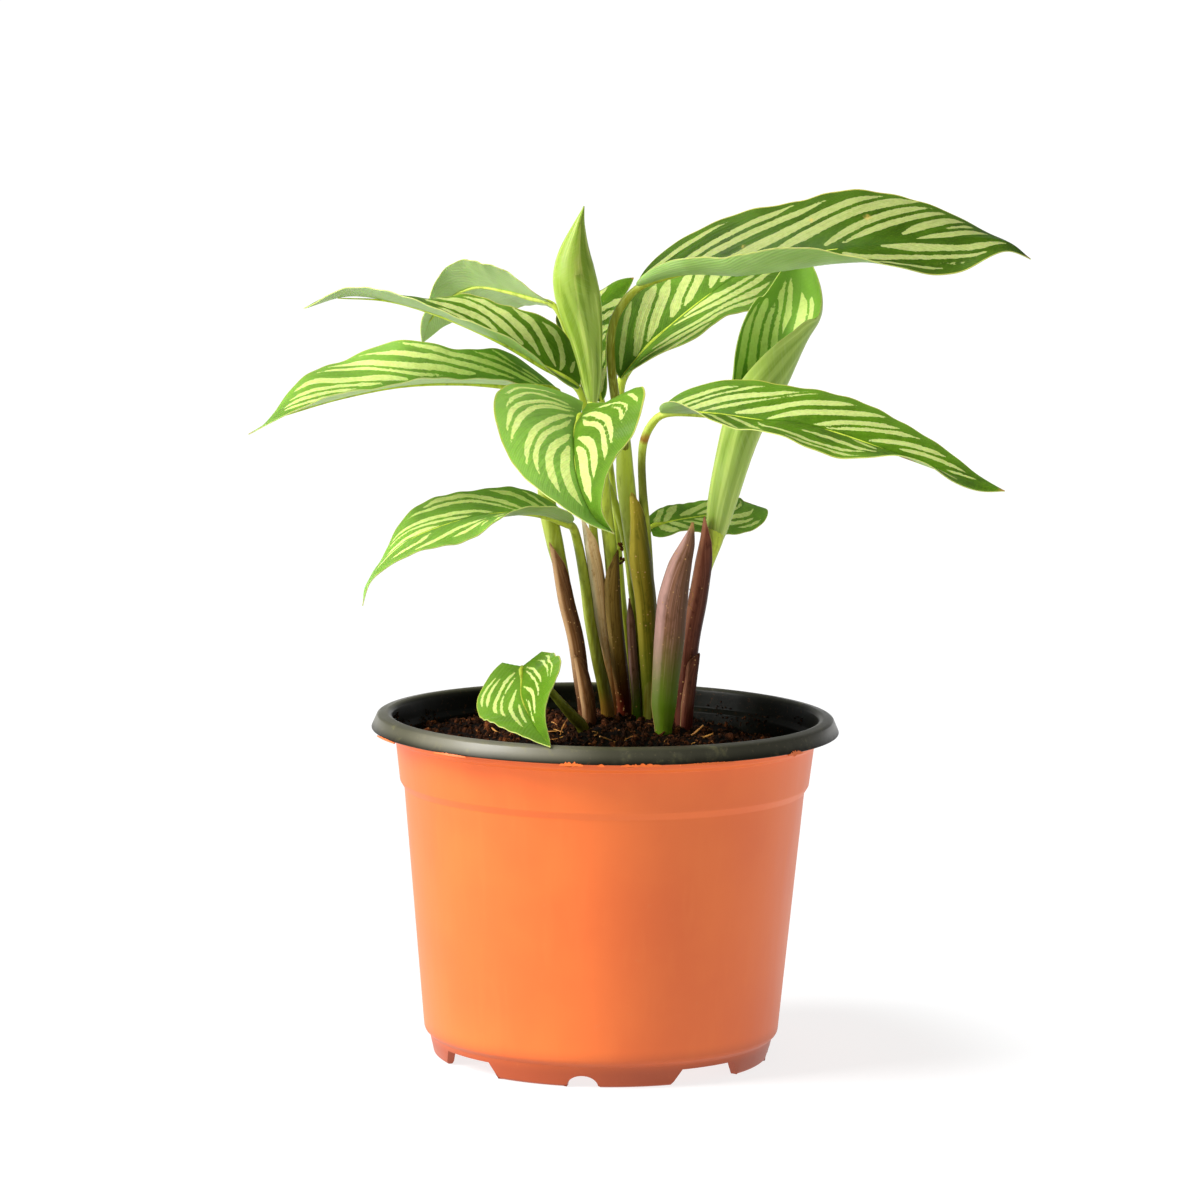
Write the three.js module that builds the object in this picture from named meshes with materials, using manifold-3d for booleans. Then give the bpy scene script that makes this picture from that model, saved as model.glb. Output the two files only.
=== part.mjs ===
// Potted calathea: a two-layer plastic nursery pot, a mound of potting soil and a clump of shoots.
// Each frond is a blade on its own petiole. Brown papery sheaths clasp the petioles low down.
// Units are millimetres and +Z is up. Every position is given from the pot's upright axis at floor level.
// The finished plant is moved sideways once, so the middle of its whole outline stands over the origin.
import * as THREE from 'three';
import Module from 'manifold-3d';

const wasm = await Module();
wasm.setup();

const OUTLINE_SHIFT_X = -9.5; // the clump leans right of the pot, so the pot stands this far left of middle
const CLEARANCE = 0.35; // air between pieces that touch in the real plant
const BLADE_THICKNESS = 0.7;
const BLADE_STEPS = 16; // quads along a blade
const HALF_STEPS = 3; // quads across each half of a flat blade
const ROLLED_STEPS = 5; // quads across each half of a rolled blade
const TIP_HALF_WIDTH = 0.5;
const STEM_SIDES = 6;
const STEM_STEPS = 8;
const STEM_FOOT_Z = 100; // petioles stand this high above the floor, inside the soil
const RIM_HEIGHT = 121.6;
const RIM_RADIUS = 82.5;
const ROUND_STEPS = 40;

const FOOT_COUNT = 4;
const FOOT_TURN_DEG = -6; // the first foot's middle, from the front towards the right
const FOOT_GAP_LOW_DEG = 14.5; // half of the gap between two feet, at the floor
const FOOT_GAP_HIGH_DEG = 11;
const FOOT_GAP_HEIGHT = 5.5;
const FOOT_RADIUS = 58.6;
const NOTCH_HALF_WIDTH = 5.4;
const NOTCH_HEIGHT = 4.1;

const SOIL_FLOOR_Z = 9.4;
const SOIL_EDGE_Z = 111;
const SOIL_MOUND = { x: 10, y: 12, rise: 6.5, spread: 27 };
const SOIL_HOLLOW = { x: 46, y: 34, rise: -5, spread: 20 };

// Radius and height of the pot's visible outer face, from the floor's middle to the edge under the rim.
const OUTER_PROFILE = [
  [0, 6.6], [57.6, 6.6], [56.7, 0.5], [57.1, 0], [58.6, 0], [59.3, 0.6], [60.9, 7.4], [62.4, 8.8], [62.8, 9.8],
  [70.65, 95.2], [72.2, 97.7], [73.9, 112], [76, 113.3], [76.9, 119.3], [78.8, 119.3], [80.8, 115.5],
  [81.4, 115.8], [79.3, 119.9], [76.8, 120.4], [76.1, 119.6], [75.2, 113.7], [73.05, 112.3], [71.4, 98.2],
  [69.9, 95.5], [62, 9.6], [60.6, 8.1], [0, 8.1],
];
// The black lining: the same wall seen from inside, rolled outward and down at the rim.
const LINING_PROFILE = [
  [0, 8.4], [60.4, 8.4], [61.7, 9.8], [69.6, 95.6], [71.2, 98.3], [72.8, 112.4], [75, 113.9], [75.9, 119.8],
  [76.6, 120.7], [79.5, 120.2], [81.75, 115.9], [RIM_RADIUS, 116.2], [80.5, 120.8], [79.7, 121.2],
  [77, RIM_HEIGHT], [76, 121.3], [75.2, 120.4], [74.2, 114.6], [72.1, 113], [70.5, 98.6], [68.8, 95.8],
  [61, 10.4], [60.1, 9.1], [0, 9.1],
];

// One frond: the petiole climbs through `stem` (x, y, z, radius), then the midrib runs from the blade's base
// to its drip tip. `face` is the way the upper side looks, base to tip. The lists named for a half hold the
// left half first, then the right half, seen from above with the tip ahead.
// half: widest half width. fold: how far a half rises off the flat, in degrees, base to tip.
// curl: how far a half bends over its own width, in degrees. swell: share of the plain outline.
// widest: where along the blade it is widest. lobe: how far the halves reach back past the petiole.
const FRONDS = {
  frond_upper_right: [{
    stem: [[5.5, 17, 213.5, 1.8], [2, 11, 231.5, 1.7], [0.5, 8, 242.5, 1.6], [0, 7, 251, 1.5],
      [1, 6, 259.5, 1.5], [4, 6, 265.5, 1.5]],
    midrib: [[9, 6, 272], [31, -8, 280], [48, -16, 283], [65, -24, 286], [98, -34, 291], [134, -38, 292],
      [143, -38, 286]],
    face: [[0, -0.55, 0.85], [0, -0.6, 0.8]],
    half: [24.5, 26], widest: 0.5, taper: 1.1,
    fold: [[25, 25, 25, 15, -5, -50], [20, -15, -20, -15, -20, 25]],
    curl: [[-10, -15, -20, -10, 0], [120, 120, 120, 115, 60, 10, 0]],
    swell: [[1, 1, 1.15, 0.95], [1, 1, 0.8, 1.3]],
    wave: [0.6, 4, 0.1],
  }, {
    stem: [[17, 26, STEM_FOOT_Z, 2.6], [16.5, 26, 122.5, 2.6], [15, 25, 144.5, 2.6], [12, 22, 163, 2.8],
      [8.5, 19, 184.5, 3.2], [6, 18, 202.5, 3.3], [5, 18, 216.5, 2.6], [3.5, 19, 227.5, 1.9]],
    midrib: [[4, 20, 238], [10, 22, 246], [17, 27, 253], [35, 42, 267], [44, 50, 273], [55, 60, 278],
      [68, 70, 281]],
    face: [[-0.15, -0.9, 0.4]],
    half: [21, 20.5], widest: 0.42, taper: 1,
    fold: [[40, 5, -20, -15, -5, 5], [75, 45, 45, 15, 5, -5]],
    curl: [[30, 20, 10, 0, 0], [-10, -10, -10, 0, 0]],
    swell: [[1, 0.95, 0.95, 1], [1]],
    wave: [0.8, 3, 0.3],
  }],
  frond_mid_right: [{
    stem: [[16.5, 15, STEM_FOOT_Z, 2.6], [16, 15, 124.5, 2.6], [15.5, 15, 146, 2.6], [14.5, 13, 164, 2.4],
      [13.5, 10, 182, 2], [12, 5, 200.5, 1.5], [11.5, 0, 211.5, 1.4], [12, -3, 218, 1.5], [14, -6, 223.5, 1.5]],
    midrib: [[18, -10, 229], [38, -22, 230], [52, -32, 229], [65, -40, 229], [92, -52, 222], [119, -61, 213],
      [134, -64, 209]],
    face: [[0, -0.5, 0.85]],
    half: [19.5, 19.5], widest: 0.45, taper: 1,
    fold: [[35, 25, 15, 10, 5, -15], [35, 20, 20, 25, 40, -10]],
    curl: [[-10, -15, -20, -10, 0], [60, 20, 0, -20, 0, 0]],
    swell: [[1], [1]],
    wave: [0.6, 3, 0.6],
  }],
  furled_right: [{
    stem: [[27, 14, STEM_FOOT_Z, 2.5], [27.5, 14, 123, 2.5], [29.5, 14, 142.5, 2.5], [31.5, 14, 160.5, 2.5],
      [34.5, 14, 173, 2.8], [37.5, 12, 183, 3.2], [38.5, 12, 187, 3.4]],
    rolled: true,
    midrib: [[39, 15, 182], [42, 16, 196], [49, 19, 221], [56, 21, 238], [62, 23, 256], [66, 24, 265],
      [67, 18, 285]],
    face: [[-0.34, -0.94, 0.2]],
    half: [20, 33], widest: 0.5, taper: 0.8, start: 0.45,
    fold: [[0], [0]],
    curl: [[95, 125, 122, 98, 60, 36], [157, 205, 205, 168, 100, 60]],
    swell: [[0.65, 0.75, 0.9, 1, 1], [0.65, 0.75, 0.9, 1, 1]],
    wave: [0, 1, 0],
  }],
  furled_spear: [{
    stem: [[7, 30, STEM_FOOT_Z, 2.2], [6.5, 30, 120, 2.2], [4.5, 24, 141, 2.2], [2.5, 20, 159.5, 2.2],
      [1, 16, 177.5, 2.4], [-1, 13, 192.5, 2.4], [-2.5, 10, 206.5, 2.3], [-4.5, 6, 221.5, 2.1],
      [-6, 3, 230.5, 1.9], [-6.6, 3.6, 235, 1.8]],
    rolled: true,
    midrib: [[-6, 4, 230], [-7, 8, 242], [-8, 9, 251], [-14, 12, 273], [-13, 9, 284], [-11, 4, 294],
      [-10, 1, 300]],
    face: [[0, -1, 0.1]],
    half: [26, 26], widest: 0.62, taper: 0.9, start: 0.2,
    fold: [[0], [0]],
    curl: [[174], [172]],
    swell: [[0.7, 0.7, 0.95, 0.8, 0.35], [0.7, 0.7, 0.95, 0.8, 0.35]],
    wave: [0, 1, 0],
  }],
  frond_back_left: [{
    stem: [[8, 42, STEM_FOOT_Z, 1.5], [7.5, 42, 118.5, 1.5], [5.5, 40, 138.5, 1.5], [3.5, 38, 157, 1.5],
      [1, 36, 179, 1.4], [-1.5, 33, 201, 1.4], [-4.5, 30, 219, 1.4], [-7, 28, 230, 1.3],
      [-10.5, 26, 240.5, 1.3], [-15, 25, 253, 1.2]],
    midrib: [[-20, 24, 264], [-29, 30, 266], [-40, 38, 268], [-51, 46, 268], [-59, 52, 263], [-65, 56, 256],
      [-68, 58, 247]],
    face: [[0, 0.8, 0.6], [-0.3, 0.8, 0.5]],
    half: [14, 17], widest: 0.45, taper: 1,
    fold: [[-35, -10, -5, 5, -30, -30], [30, 35, 20, 5, 0, -5]],
    curl: [[0], [0]],
    swell: [[1, 1.1, 0.8, 0.95], [1]],
    wave: [0.6, 2, 0.2],
  }],
  frond_upper_left: [{
    stem: [[13.5, 34, STEM_FOOT_Z, 1.5], [13, 34, 121.5, 1.5], [11, 30, 143.5, 1.5], [9, 28, 162, 1.5],
      [6.5, 26, 178.5, 1.4], [2.5, 24, 193, 1.4], [-2.5, 22, 205.5, 1.4], [-7.5, 18, 222, 1.4]],
    midrib: [[-11, 10, 236], [-19, 8, 241], [-39, 6, 252], [-49, 8, 256], [-62, 12, 261], [-92, 24, 266],
      [-109, 28, 261]],
    face: [[0.2, -0.45, 0.9], [0, -0.45, 0.9]],
    half: [19.5, 21], widest: 0.42, taper: 1,
    fold: [[15, 35, 40, 40, 45, 35], [25, 35, 15, -15, -20, -5]],
    curl: [[0], [0]],
    swell: [[1], [1.2, 0.75, 1.05, 1]],
    wave: [0.6, 3, 0.4],
  }],
  frond_mid_left: [{
    stem: [[-6, 14, STEM_FOOT_Z, 1.8], [-6.5, 14, 122.5, 1.8], [-11, 13, 145.5, 1.8], [-14.5, 12, 163.5, 2],
      [-18.5, 12, 179.5, 3], [-21.5, 13, 193.5, 3.2], [-23, 14, 208, 2.2], [-21.5, 13, 222, 1.8]],
    midrib: [[-18, 13, 234], [-28, 8, 236], [-52, -4, 238], [-66, -10, 238], [-83, -18, 236],
      [-113, -32, 228], [-124, -36, 222]],
    face: [[0, -0.45, 0.9]],
    half: [19, 21], widest: 0.48, taper: 1.05,
    fold: [[15, 30, 35, 35, 40, 30], [0, 45, 50, 10, 5, -50]],
    curl: [[0], [0, -20, -20, -20, 0]],
    swell: [[1], [1.15, 0.65, 1.25, 0.95]],
    wave: [0.5, 4, 0.2],
  }],
  frond_front: [{
    stem: [[3, 34, STEM_FOOT_Z, 1.8], [2.5, 34, 119.5, 1.8], [0.5, 30, 136.5, 1.8], [-1.5, 26, 151.5, 1.8],
      [-3.5, 20, 170, 1.6], [-5.5, 14, 188.5, 1.5], [-6, 10, 203, 1.5], [-7.5, 3, 218, 1.5]],
    midrib: [[-10, -18, 229], [-12, -34, 226], [-12, -50, 220], [-11, -61, 212], [-8, -69, 204],
      [-4, -74, 198], [2, -77, 194]],
    face: [[0, -0.2, 0.98], [0, -0.6, 0.8], [0, -0.95, 0.4]],
    half: [23, 26], widest: 0.3, taper: 0.9, lobe: 13,
    fold: [[25, 45, 45, 40, 55, 75], [40, 35, 30, 20, 40, 65]],
    curl: [[-20, -20, -20, -10, 0], [-20, -20, -20, -10, 0]],
    swell: [[0.75, 1.3, 0.95, 0.9], [1.1, 1.15, 0.95, 1]],
    wave: [0.4, 3, 0.2],
  }],
  frond_low_left: [{
    stem: [[1.5, 22, STEM_FOOT_Z, 2.4], [0.5, 22, 121.5, 2.4], [-3, 21, 137.5, 2.2], [-6, 20, 152, 2],
      [-8, 17, 166.5, 1.9], [-10.5, 12, 180, 1.7], [-12.5, 5, 187, 1.5]],
    midrib: [[-14, 0, 189], [-27, -12, 194], [-38, -18, 194], [-48, -24, 193], [-70, -36, 185],
      [-82, -42, 172], [-84, -43, 164]],
    face: [[0, -0.5, 0.86], [-0.1, -0.6, 0.8]],
    half: [16.5, 17], widest: 0.45, taper: 1.4,
    fold: [[5, 10, 15, 10, 30, 60], [25, 10, 5, -10, -45, -55]],
    curl: [[70, 60, 10, 0, 0], [0, -10, -10, 0, 0]],
    swell: [[1, 0.9, 1, 0.95], [1, 0.9, 1.1, 1]],
    wave: [0.5, 3, 0.3],
  }],
  frond_low_right: [{
    stem: [[18.5, 38, STEM_FOOT_Z, 1.3], [18, 38, 119, 1.3], [16.5, 37, 139.5, 1.3], [15, 36, 157.5, 1.3],
      [13.5, 34, 172, 1.3]],
    midrib: [[15, 34, 185], [24, 38, 186], [35, 42, 187], [48, 46, 186], [54, 52, 185], [57, 62, 183]],
    face: [[0, -0.8, 0.6]],
    half: [9.5, 8.5], widest: 0.55, taper: 0.7,
    fold: [[10, 0, -15, -10, 10, 40], [-15, 25, 15, 15, 25, 25]],
    curl: [[0], [0]],
    swell: [[1], [1]],
    wave: [0.4, 2, 0.2],
  }],
  frond_small_front: [{
    stem: [[-5, 1, STEM_FOOT_Z, 2.2], [-6.5, -2, 110, 2.2], [-8, -4, 117, 2.2], [-11.5, -11, 122, 2],
      [-15.5, -18, 127.5, 1.6], [-20, -24, 133.5, 1.3], [-24.5, -28, 138.5, 1.1]],
    midrib: [[-29, -30, 142], [-29, -37, 138], [-29, -44, 134], [-27, -52, 130], [-24, -64, 126],
      [-19, -78, 123]],
    face: [[0, -0.3, 0.95], [0, -0.45, 0.9]],
    half: [17, 16], widest: 0.35, taper: 0.8, lobe: 4,
    fold: [[35, 55, 55, 55, 50, 40], [-5, -10, -5, 5, 10, 10]],
    curl: [[-10, -10, -10, 0, 0], [-10, -10, -10, 0, 0]],
    swell: [[1, 1.25, 0.95, 0.95], [1]],
    wave: [0.3, 3, 0.3],
  }],
  frond_behind_spear: [{
    stem: [[10.5, 48, STEM_FOOT_Z, 1.5], [10, 48, 117.5, 1.5], [8, 47, 138, 1.5], [5.5, 46, 156, 1.5],
      [3.5, 44, 178, 1.4], [1.5, 41, 196.5, 1.4], [-1, 37, 215, 1.3]],
    midrib: [[-3, 34, 229], [-6, 38, 240], [-8, 42, 252], [-4, 46, 262], [8, 52, 272]],
    face: [[-0.2, -0.95, 0.3]],
    half: [12.5, 7.5], widest: 0.5, taper: 0.9,
    fold: [[30, 65, 60, -10, -45, -20], [25, 30, 15, 10, 20, 20]],
    curl: [[0], [0]],
    swell: [[1], [1]],
    wave: [0.4, 2, 0.1],
  }],
};

// Papery sheaths round the petioles, and two young shoots that are still closed: x, y, z, radius, foot to tip.
const SHEATHS = {
  sheath_left: [[-6.5, 14, 104, 3], [-7, 14, 122.5, 3], [-8.5, 13.5, 131.5, 2.9], [-11, 12.5, 146, 2.9],
    [-14.5, 11, 160, 2.9], [-17, 8.5, 174, 2.7], [-19.5, 9, 181.5, 0.4]],
  sheath_left_small: [[-4.5, 11, 106, 3.1], [-5, 11, 121, 3.2], [-6, 10, 126.5, 3.2], [-8.5, 9, 135, 2.2],
    [-10.5, 8, 141.5, 0.4]],
  sheath_dry: [[2.5, 32, 104, 2.6], [2, 31, 120, 2.6], [0, 27, 137, 2.5], [-2, 23, 151.5, 2.3],
    [-4, 18, 165, 2], [-6.5, 12, 180, 1.9], [-8, 9, 191, 0.5]],
  sheath_spear: [[6.5, 30, 104, 3], [6.5, 30, 120, 3], [5.5, 27, 129.5, 3.1], [3.5, 22, 144.5, 3.2],
    [2, 18, 159.5, 3.2], [1.5, 14, 172.5, 2.8], [2.5, 12, 178.5, 0.5]],
  sheath_right_middle: [[17, 16.5, 104, 3.5], [16.5, 16.5, 122.5, 3.5], [15, 15, 142, 3.6],
    [13.5, 12.5, 160.5, 3.9], [11.5, 10, 175, 4.1], [10.5, 7, 189.5, 2.8], [11, 4, 200, 0.5]],
  sheath_right: [[27.5, 14, 104, 3.3], [28, 14, 123, 3.3], [28.5, 14, 132, 3.4], [29.5, 14, 146, 3.5],
    [32, 13, 160.5, 3.4], [34, 11, 174.5, 3.1], [35, 9, 182.5, 2.6], [34.5, 8, 191, 0.4]],
  sheath_right_small: [[28, 8, 108, 1.8], [28.5, 8, 118.5, 1.9], [29, 8, 123.5, 2.4], [30, 8, 132.5, 2.4],
    [32, 8, 142.5, 0.3]],
  bud_middle: [[11.5, 25, 104, 1.5], [11, 25, 121, 1.6], [9.5, 22, 137.5, 1.7], [8.5, 20, 152, 1.6],
    [8, 20, 160, 0.3]],
  bud_front: [[20.5, -3, 106, 2.6], [20.5, -3, 117, 3.2], [20.5, -2, 125, 4.6], [21, -1, 134, 4.9],
    [22, 0, 148, 5.6], [23, 0, 162, 5.6], [25.5, 0, 174.5, 4.3], [28, -1, 182.5, 2.7], [29.5, -2, 190, 0.7]],
};

const LOOKS = {
  leaf: { color: 0x6f9e45, roughness: 0.42 },
  spear: { color: 0x9cbf4f, roughness: 0.4 },
  brown_sheath: { color: 0x6e4d3d, roughness: 0.55 },
  pink_sheath: { color: 0x9a7470, roughness: 0.5 },
  dry_sheath: { color: 0xd0a878, roughness: 0.7 },
  soil: { color: 0x22140c, roughness: 0.95 },
  terracotta_plastic: { color: 0xe07c48, roughness: 0.4 },
  black_plastic: { color: 0x3a3e3a, roughness: 0.45 },
};

const SLOT_OF = {
  furled_right: 'spear',
  furled_spear: 'spear',
  sheath_dry: 'dry_sheath',
  bud_front: 'pink_sheath',
};

// A closed body from vertices and the triangles between them.
function solidOf(vertices, triangles) {
  const flat = new Float32Array(vertices.flatMap((v) => [v.x, v.y, v.z]));
  const mesh = new wasm.Mesh({ numProp: 3, vertProperties: flat, triVerts: new Uint32Array(triangles.flat()) });
  return new wasm.Manifold(mesh);
}

// The value that a list of evenly spaced stations has at u, joined smoothly.
function valueAt(list, u) {
  if (list.length === 1) return list[0];
  const place = (list.length - 1) * u;
  const i = Math.min(Math.floor(place), list.length - 2);
  const t = place - i;
  const before = list[Math.max(i - 1, 0)];
  const after = list[Math.min(i + 2, list.length - 1)];
  const slopeIn = (list[i + 1] - before) / 2;
  const slopeOut = (after - list[i]) / 2;
  const cubic = 2 * list[i] - 2 * list[i + 1] + slopeIn + slopeOut;
  const square = -3 * list[i] + 3 * list[i + 1] - 2 * slopeIn - slopeOut;
  return ((cubic * t + square) * t + slopeIn) * t + list[i];
}

function directionAt(list, u) {
  const pick = (k) => valueAt(list.map((v) => v[k]), u);
  return new THREE.Vector3(pick(0), pick(1), pick(2));
}

function smoothPath(points, steps) {
  const curve = new THREE.CatmullRomCurve3(points.map((p) => new THREE.Vector3(p[0], p[1], p[2])));
  return curve.getSpacedPoints(steps);
}

// Tangent, normal and sideways direction at every point of a midrib. The normal looks out of the upper side.
function midribFrames(path, face) {
  return path.map((point, i) => {
    const ahead = path[Math.min(i + 1, path.length - 1)];
    const behind = path[Math.max(i - 1, 0)];
    const along = ahead.clone().sub(behind).normalize();
    const up = directionAt(face, i / (path.length - 1));
    up.addScaledVector(along, -up.dot(along)).normalize();
    return { point, along, up, side: along.clone().cross(up) };
  });
}

// Share of the full width at u: round at the base, drawn out to a drip tip.
function outlineAt(blade, u) {
  if (u < blade.widest) {
    const start = blade.start ?? 0.17;
    return Math.sqrt(1 - (1 - start * start) * (1 - u / blade.widest) ** 2);
  }
  const t = (u - blade.widest) / (1 - blade.widest);
  return Math.max(1 - t * t, 0) ** blade.taper;
}

// One blade as a closed thin body: both faces share one grid, so they can't cross.
function bladeSolid(blade) {
  const across = blade.rolled ? ROLLED_STEPS : HALF_STEPS;
  const frames = midribFrames(smoothPath(blade.midrib, BLADE_STEPS), blade.face);
  const grid = frames.map(({ point, along, up, side }, i) => {
    const u = i / BLADE_STEPS;
    const row = [];
    for (let j = -across; j <= across; j++) {
      const k = j < 0 ? 0 : 1;
      const v = Math.abs(j) / across;
      const plain = outlineAt(blade, u) * valueAt(blade.swell[k], u);
      const width = Math.max(blade.half[k] * plain, TIP_HALF_WIDTH);
      const fold = THREE.MathUtils.degToRad(valueAt(blade.fold[k], u));
      const bend = THREE.MathUtils.degToRad(valueAt(blade.curl[k], u));
      const arc = Math.abs(bend) > 0.001 ? width / bend : 0;
      const out = arc ? arc * (Math.sin(fold + bend * v) - Math.sin(fold)) : width * v * Math.cos(fold);
      const rise = arc ? arc * (Math.cos(fold) - Math.cos(fold + bend * v)) : width * v * Math.sin(fold);
      const [height, count, phase] = blade.wave;
      const ripple = height * v * v * Math.sin(2 * Math.PI * (count * u + phase + k / 3)) * 4 * u * (1 - u);
      const back = (blade.lobe ?? 0) * Math.max(0, 1 - u / 0.3) ** 2 * v ** 1.3;
      const vertex = point.clone().addScaledVector(side, Math.sign(j) * out);
      vertex.addScaledVector(up, rise + ripple).addScaledVector(along, -back);
      row.push(vertex);
    }
    return row;
  });
  const rows = grid.length;
  const columns = grid[0].length;
  const at = (i, j) => grid[THREE.MathUtils.clamp(i, 0, rows - 1)][THREE.MathUtils.clamp(j, 0, columns - 1)];
  const upper = [];
  const lower = [];
  for (let i = 0; i < rows; i++) {
    for (let j = 0; j < columns; j++) {
      const acrossStep = at(i, j + 1).clone().sub(at(i, j - 1));
      const alongStep = at(i + 1, j).clone().sub(at(i - 1, j));
      const normal = acrossStep.cross(alongStep).setLength(BLADE_THICKNESS / 2);
      upper.push(grid[i][j].clone().add(normal));
      lower.push(grid[i][j].clone().sub(normal));
    }
  }
  const triangles = [];
  const under = upper.length;
  const index = (i, j) => i * columns + j;
  for (let i = 0; i < rows - 1; i++) {
    for (let j = 0; j < columns - 1; j++) {
      const a = index(i, j);
      const b = index(i + 1, j);
      const c = index(i + 1, j + 1);
      const d = index(i, j + 1);
      triangles.push([a, d, c], [a, c, b], [a + under, c + under, d + under], [a + under, b + under, c + under]);
    }
  }
  const edge = [];
  for (let j = 0; j < columns; j++) edge.push(index(0, j));
  for (let i = 1; i < rows; i++) edge.push(index(i, columns - 1));
  for (let j = columns - 2; j >= 0; j--) edge.push(index(rows - 1, j));
  for (let i = rows - 2; i > 0; i--) edge.push(index(i, 0));
  edge.forEach((a, k) => {
    const b = edge[(k + 1) % edge.length];
    triangles.push([a, a + under, b + under], [a, b + under, b]);
  });
  return solidOf([...upper, ...lower], triangles);
}

// A round tapering body through points with a radius each. `margin` makes it larger all over.
function stemSolid(points, margin = 0, steps = STEM_STEPS) {
  const path = smoothPath(points, steps);
  const spacing = smoothPath(points, 200);
  const radiusAt = (u) => {
    const here = spacing[Math.round(u * 200)];
    let best = 0;
    for (let k = 0; k < points.length - 1; k++) {
      const start = new THREE.Vector3(...points[k]);
      const end = new THREE.Vector3(...points[k + 1]);
      const segment = new THREE.Line3(start, end);
      const t = segment.closestPointToPointParameter(here, true);
      const gap = segment.at(t, new THREE.Vector3()).distanceTo(here);
      if (k === 0 || gap < best.gap) best = { gap, radius: points[k][3] * (1 - t) + points[k + 1][3] * t };
    }
    return best.radius;
  };
  const vertices = [];
  const triangles = [];
  const right = new THREE.Vector3(1, 0, 0);
  path.forEach((point, i) => {
    const ahead = path[Math.min(i + 1, steps)];
    const along = ahead.clone().sub(path[Math.max(i - 1, 0)]).normalize();
    right.addScaledVector(along, -right.dot(along)).normalize();
    const front = along.clone().cross(right);
    const centre = point.clone();
    if (i === 0) centre.addScaledVector(along, -margin);
    if (i === steps) centre.addScaledVector(along, margin);
    for (let k = 0; k < STEM_SIDES; k++) {
      const angle = (2 * Math.PI * k) / STEM_SIDES;
      const reach = radiusAt(i / steps) + margin;
      const vertex = centre.clone().addScaledVector(right, reach * Math.cos(angle));
      vertices.push(vertex.addScaledVector(front, reach * Math.sin(angle)));
    }
  });
  for (let i = 0; i < steps; i++) {
    for (let k = 0; k < STEM_SIDES; k++) {
      const a = i * STEM_SIDES + k;
      const b = i * STEM_SIDES + ((k + 1) % STEM_SIDES);
      triangles.push([a, b, b + STEM_SIDES], [a, b + STEM_SIDES, a + STEM_SIDES]);
    }
  }
  const last = steps * STEM_SIDES;
  for (let k = 1; k < STEM_SIDES - 1; k++) {
    triangles.push([0, k + 1, k], [last, last + k, last + k + 1]);
  }
  return solidOf(vertices, triangles);
}

// The petiole and the stretch of midrib that it thickens under the blade.
function petiolePoints(frond) {
  if (frond.rolled) return frond.stem;
  const frames = midribFrames(smoothPath(frond.midrib, 20), frond.face);
  const end = frond.stem[frond.stem.length - 1][3];
  const ridge = [[0, end * 0.9], [3, end * 0.75], [6, 0.6]].map(([i, radius]) => {
    const place = frames[i].point.clone().addScaledVector(frames[i].up, -0.5 * radius);
    return [place.x, place.y, place.z, radius];
  });
  return [...frond.stem, ...ridge];
}

function largestPiece(solid) {
  const pieces = solid.decompose();
  return pieces.reduce((best, piece) => (piece.volume() > best.volume() ? piece : best));
}

// A turned body as a solid. Its profile starts and ends on the axis.
function turnedSolid(profile) {
  const vertices = [];
  const triangles = [];
  const rings = profile.map(([radius, z]) => {
    if (radius === 0) {
      vertices.push(new THREE.Vector3(0, 0, z));
      return [vertices.length - 1];
    }
    const ring = [];
    for (let k = 0; k < ROUND_STEPS; k++) {
      const angle = (2 * Math.PI * k) / ROUND_STEPS;
      vertices.push(new THREE.Vector3(radius * Math.cos(angle), radius * Math.sin(angle), z));
      ring.push(vertices.length - 1);
    }
    return ring;
  });
  for (let i = 0; i < rings.length - 1; i++) {
    for (let k = 0; k < ROUND_STEPS; k++) {
      const next = (k + 1) % ROUND_STEPS;
      const [low, high] = [rings[i], rings[i + 1]];
      if (low.length > 1) triangles.push([low[k], low[next], high[high.length > 1 ? next : 0]]);
      if (high.length > 1) triangles.push([low[low.length > 1 ? k : 0], high[next], high[k]]);
    }
  }
  return solidOf(vertices, triangles);
}

// A shape drawn in the plane across a spoke of the pot, run outward through the foot ring.
function spokeCutter(shape, angleDeg) {
  const geometry = new THREE.ExtrudeGeometry(shape, { depth: 14, bevelEnabled: false, curveSegments: 6 });
  const angle = THREE.MathUtils.degToRad(angleDeg);
  const outward = new THREE.Vector3(Math.sin(angle), -Math.cos(angle), 0);
  const sideways = new THREE.Vector3(Math.cos(angle), Math.sin(angle), 0);
  const frame = new THREE.Matrix4().makeBasis(sideways, new THREE.Vector3(0, 0, 1), outward);
  frame.setPosition(outward.clone().multiplyScalar(50));
  geometry.applyMatrix4(frame);
  const position = geometry.getAttribute('position');
  const seen = new Map();
  const vertices = [];
  const corner = (k) => {
    const vertex = new THREE.Vector3().fromBufferAttribute(position, k);
    const key = vertex.toArray().map((c) => c.toFixed(3)).join();
    if (!seen.has(key)) seen.set(key, vertices.push(vertex) - 1);
    return seen.get(key);
  };
  const triangles = [];
  for (let k = 0; k < position.count; k += 3) triangles.push([corner(k), corner(k + 1), corner(k + 2)]);
  return solidOf(vertices, triangles);
}

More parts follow.
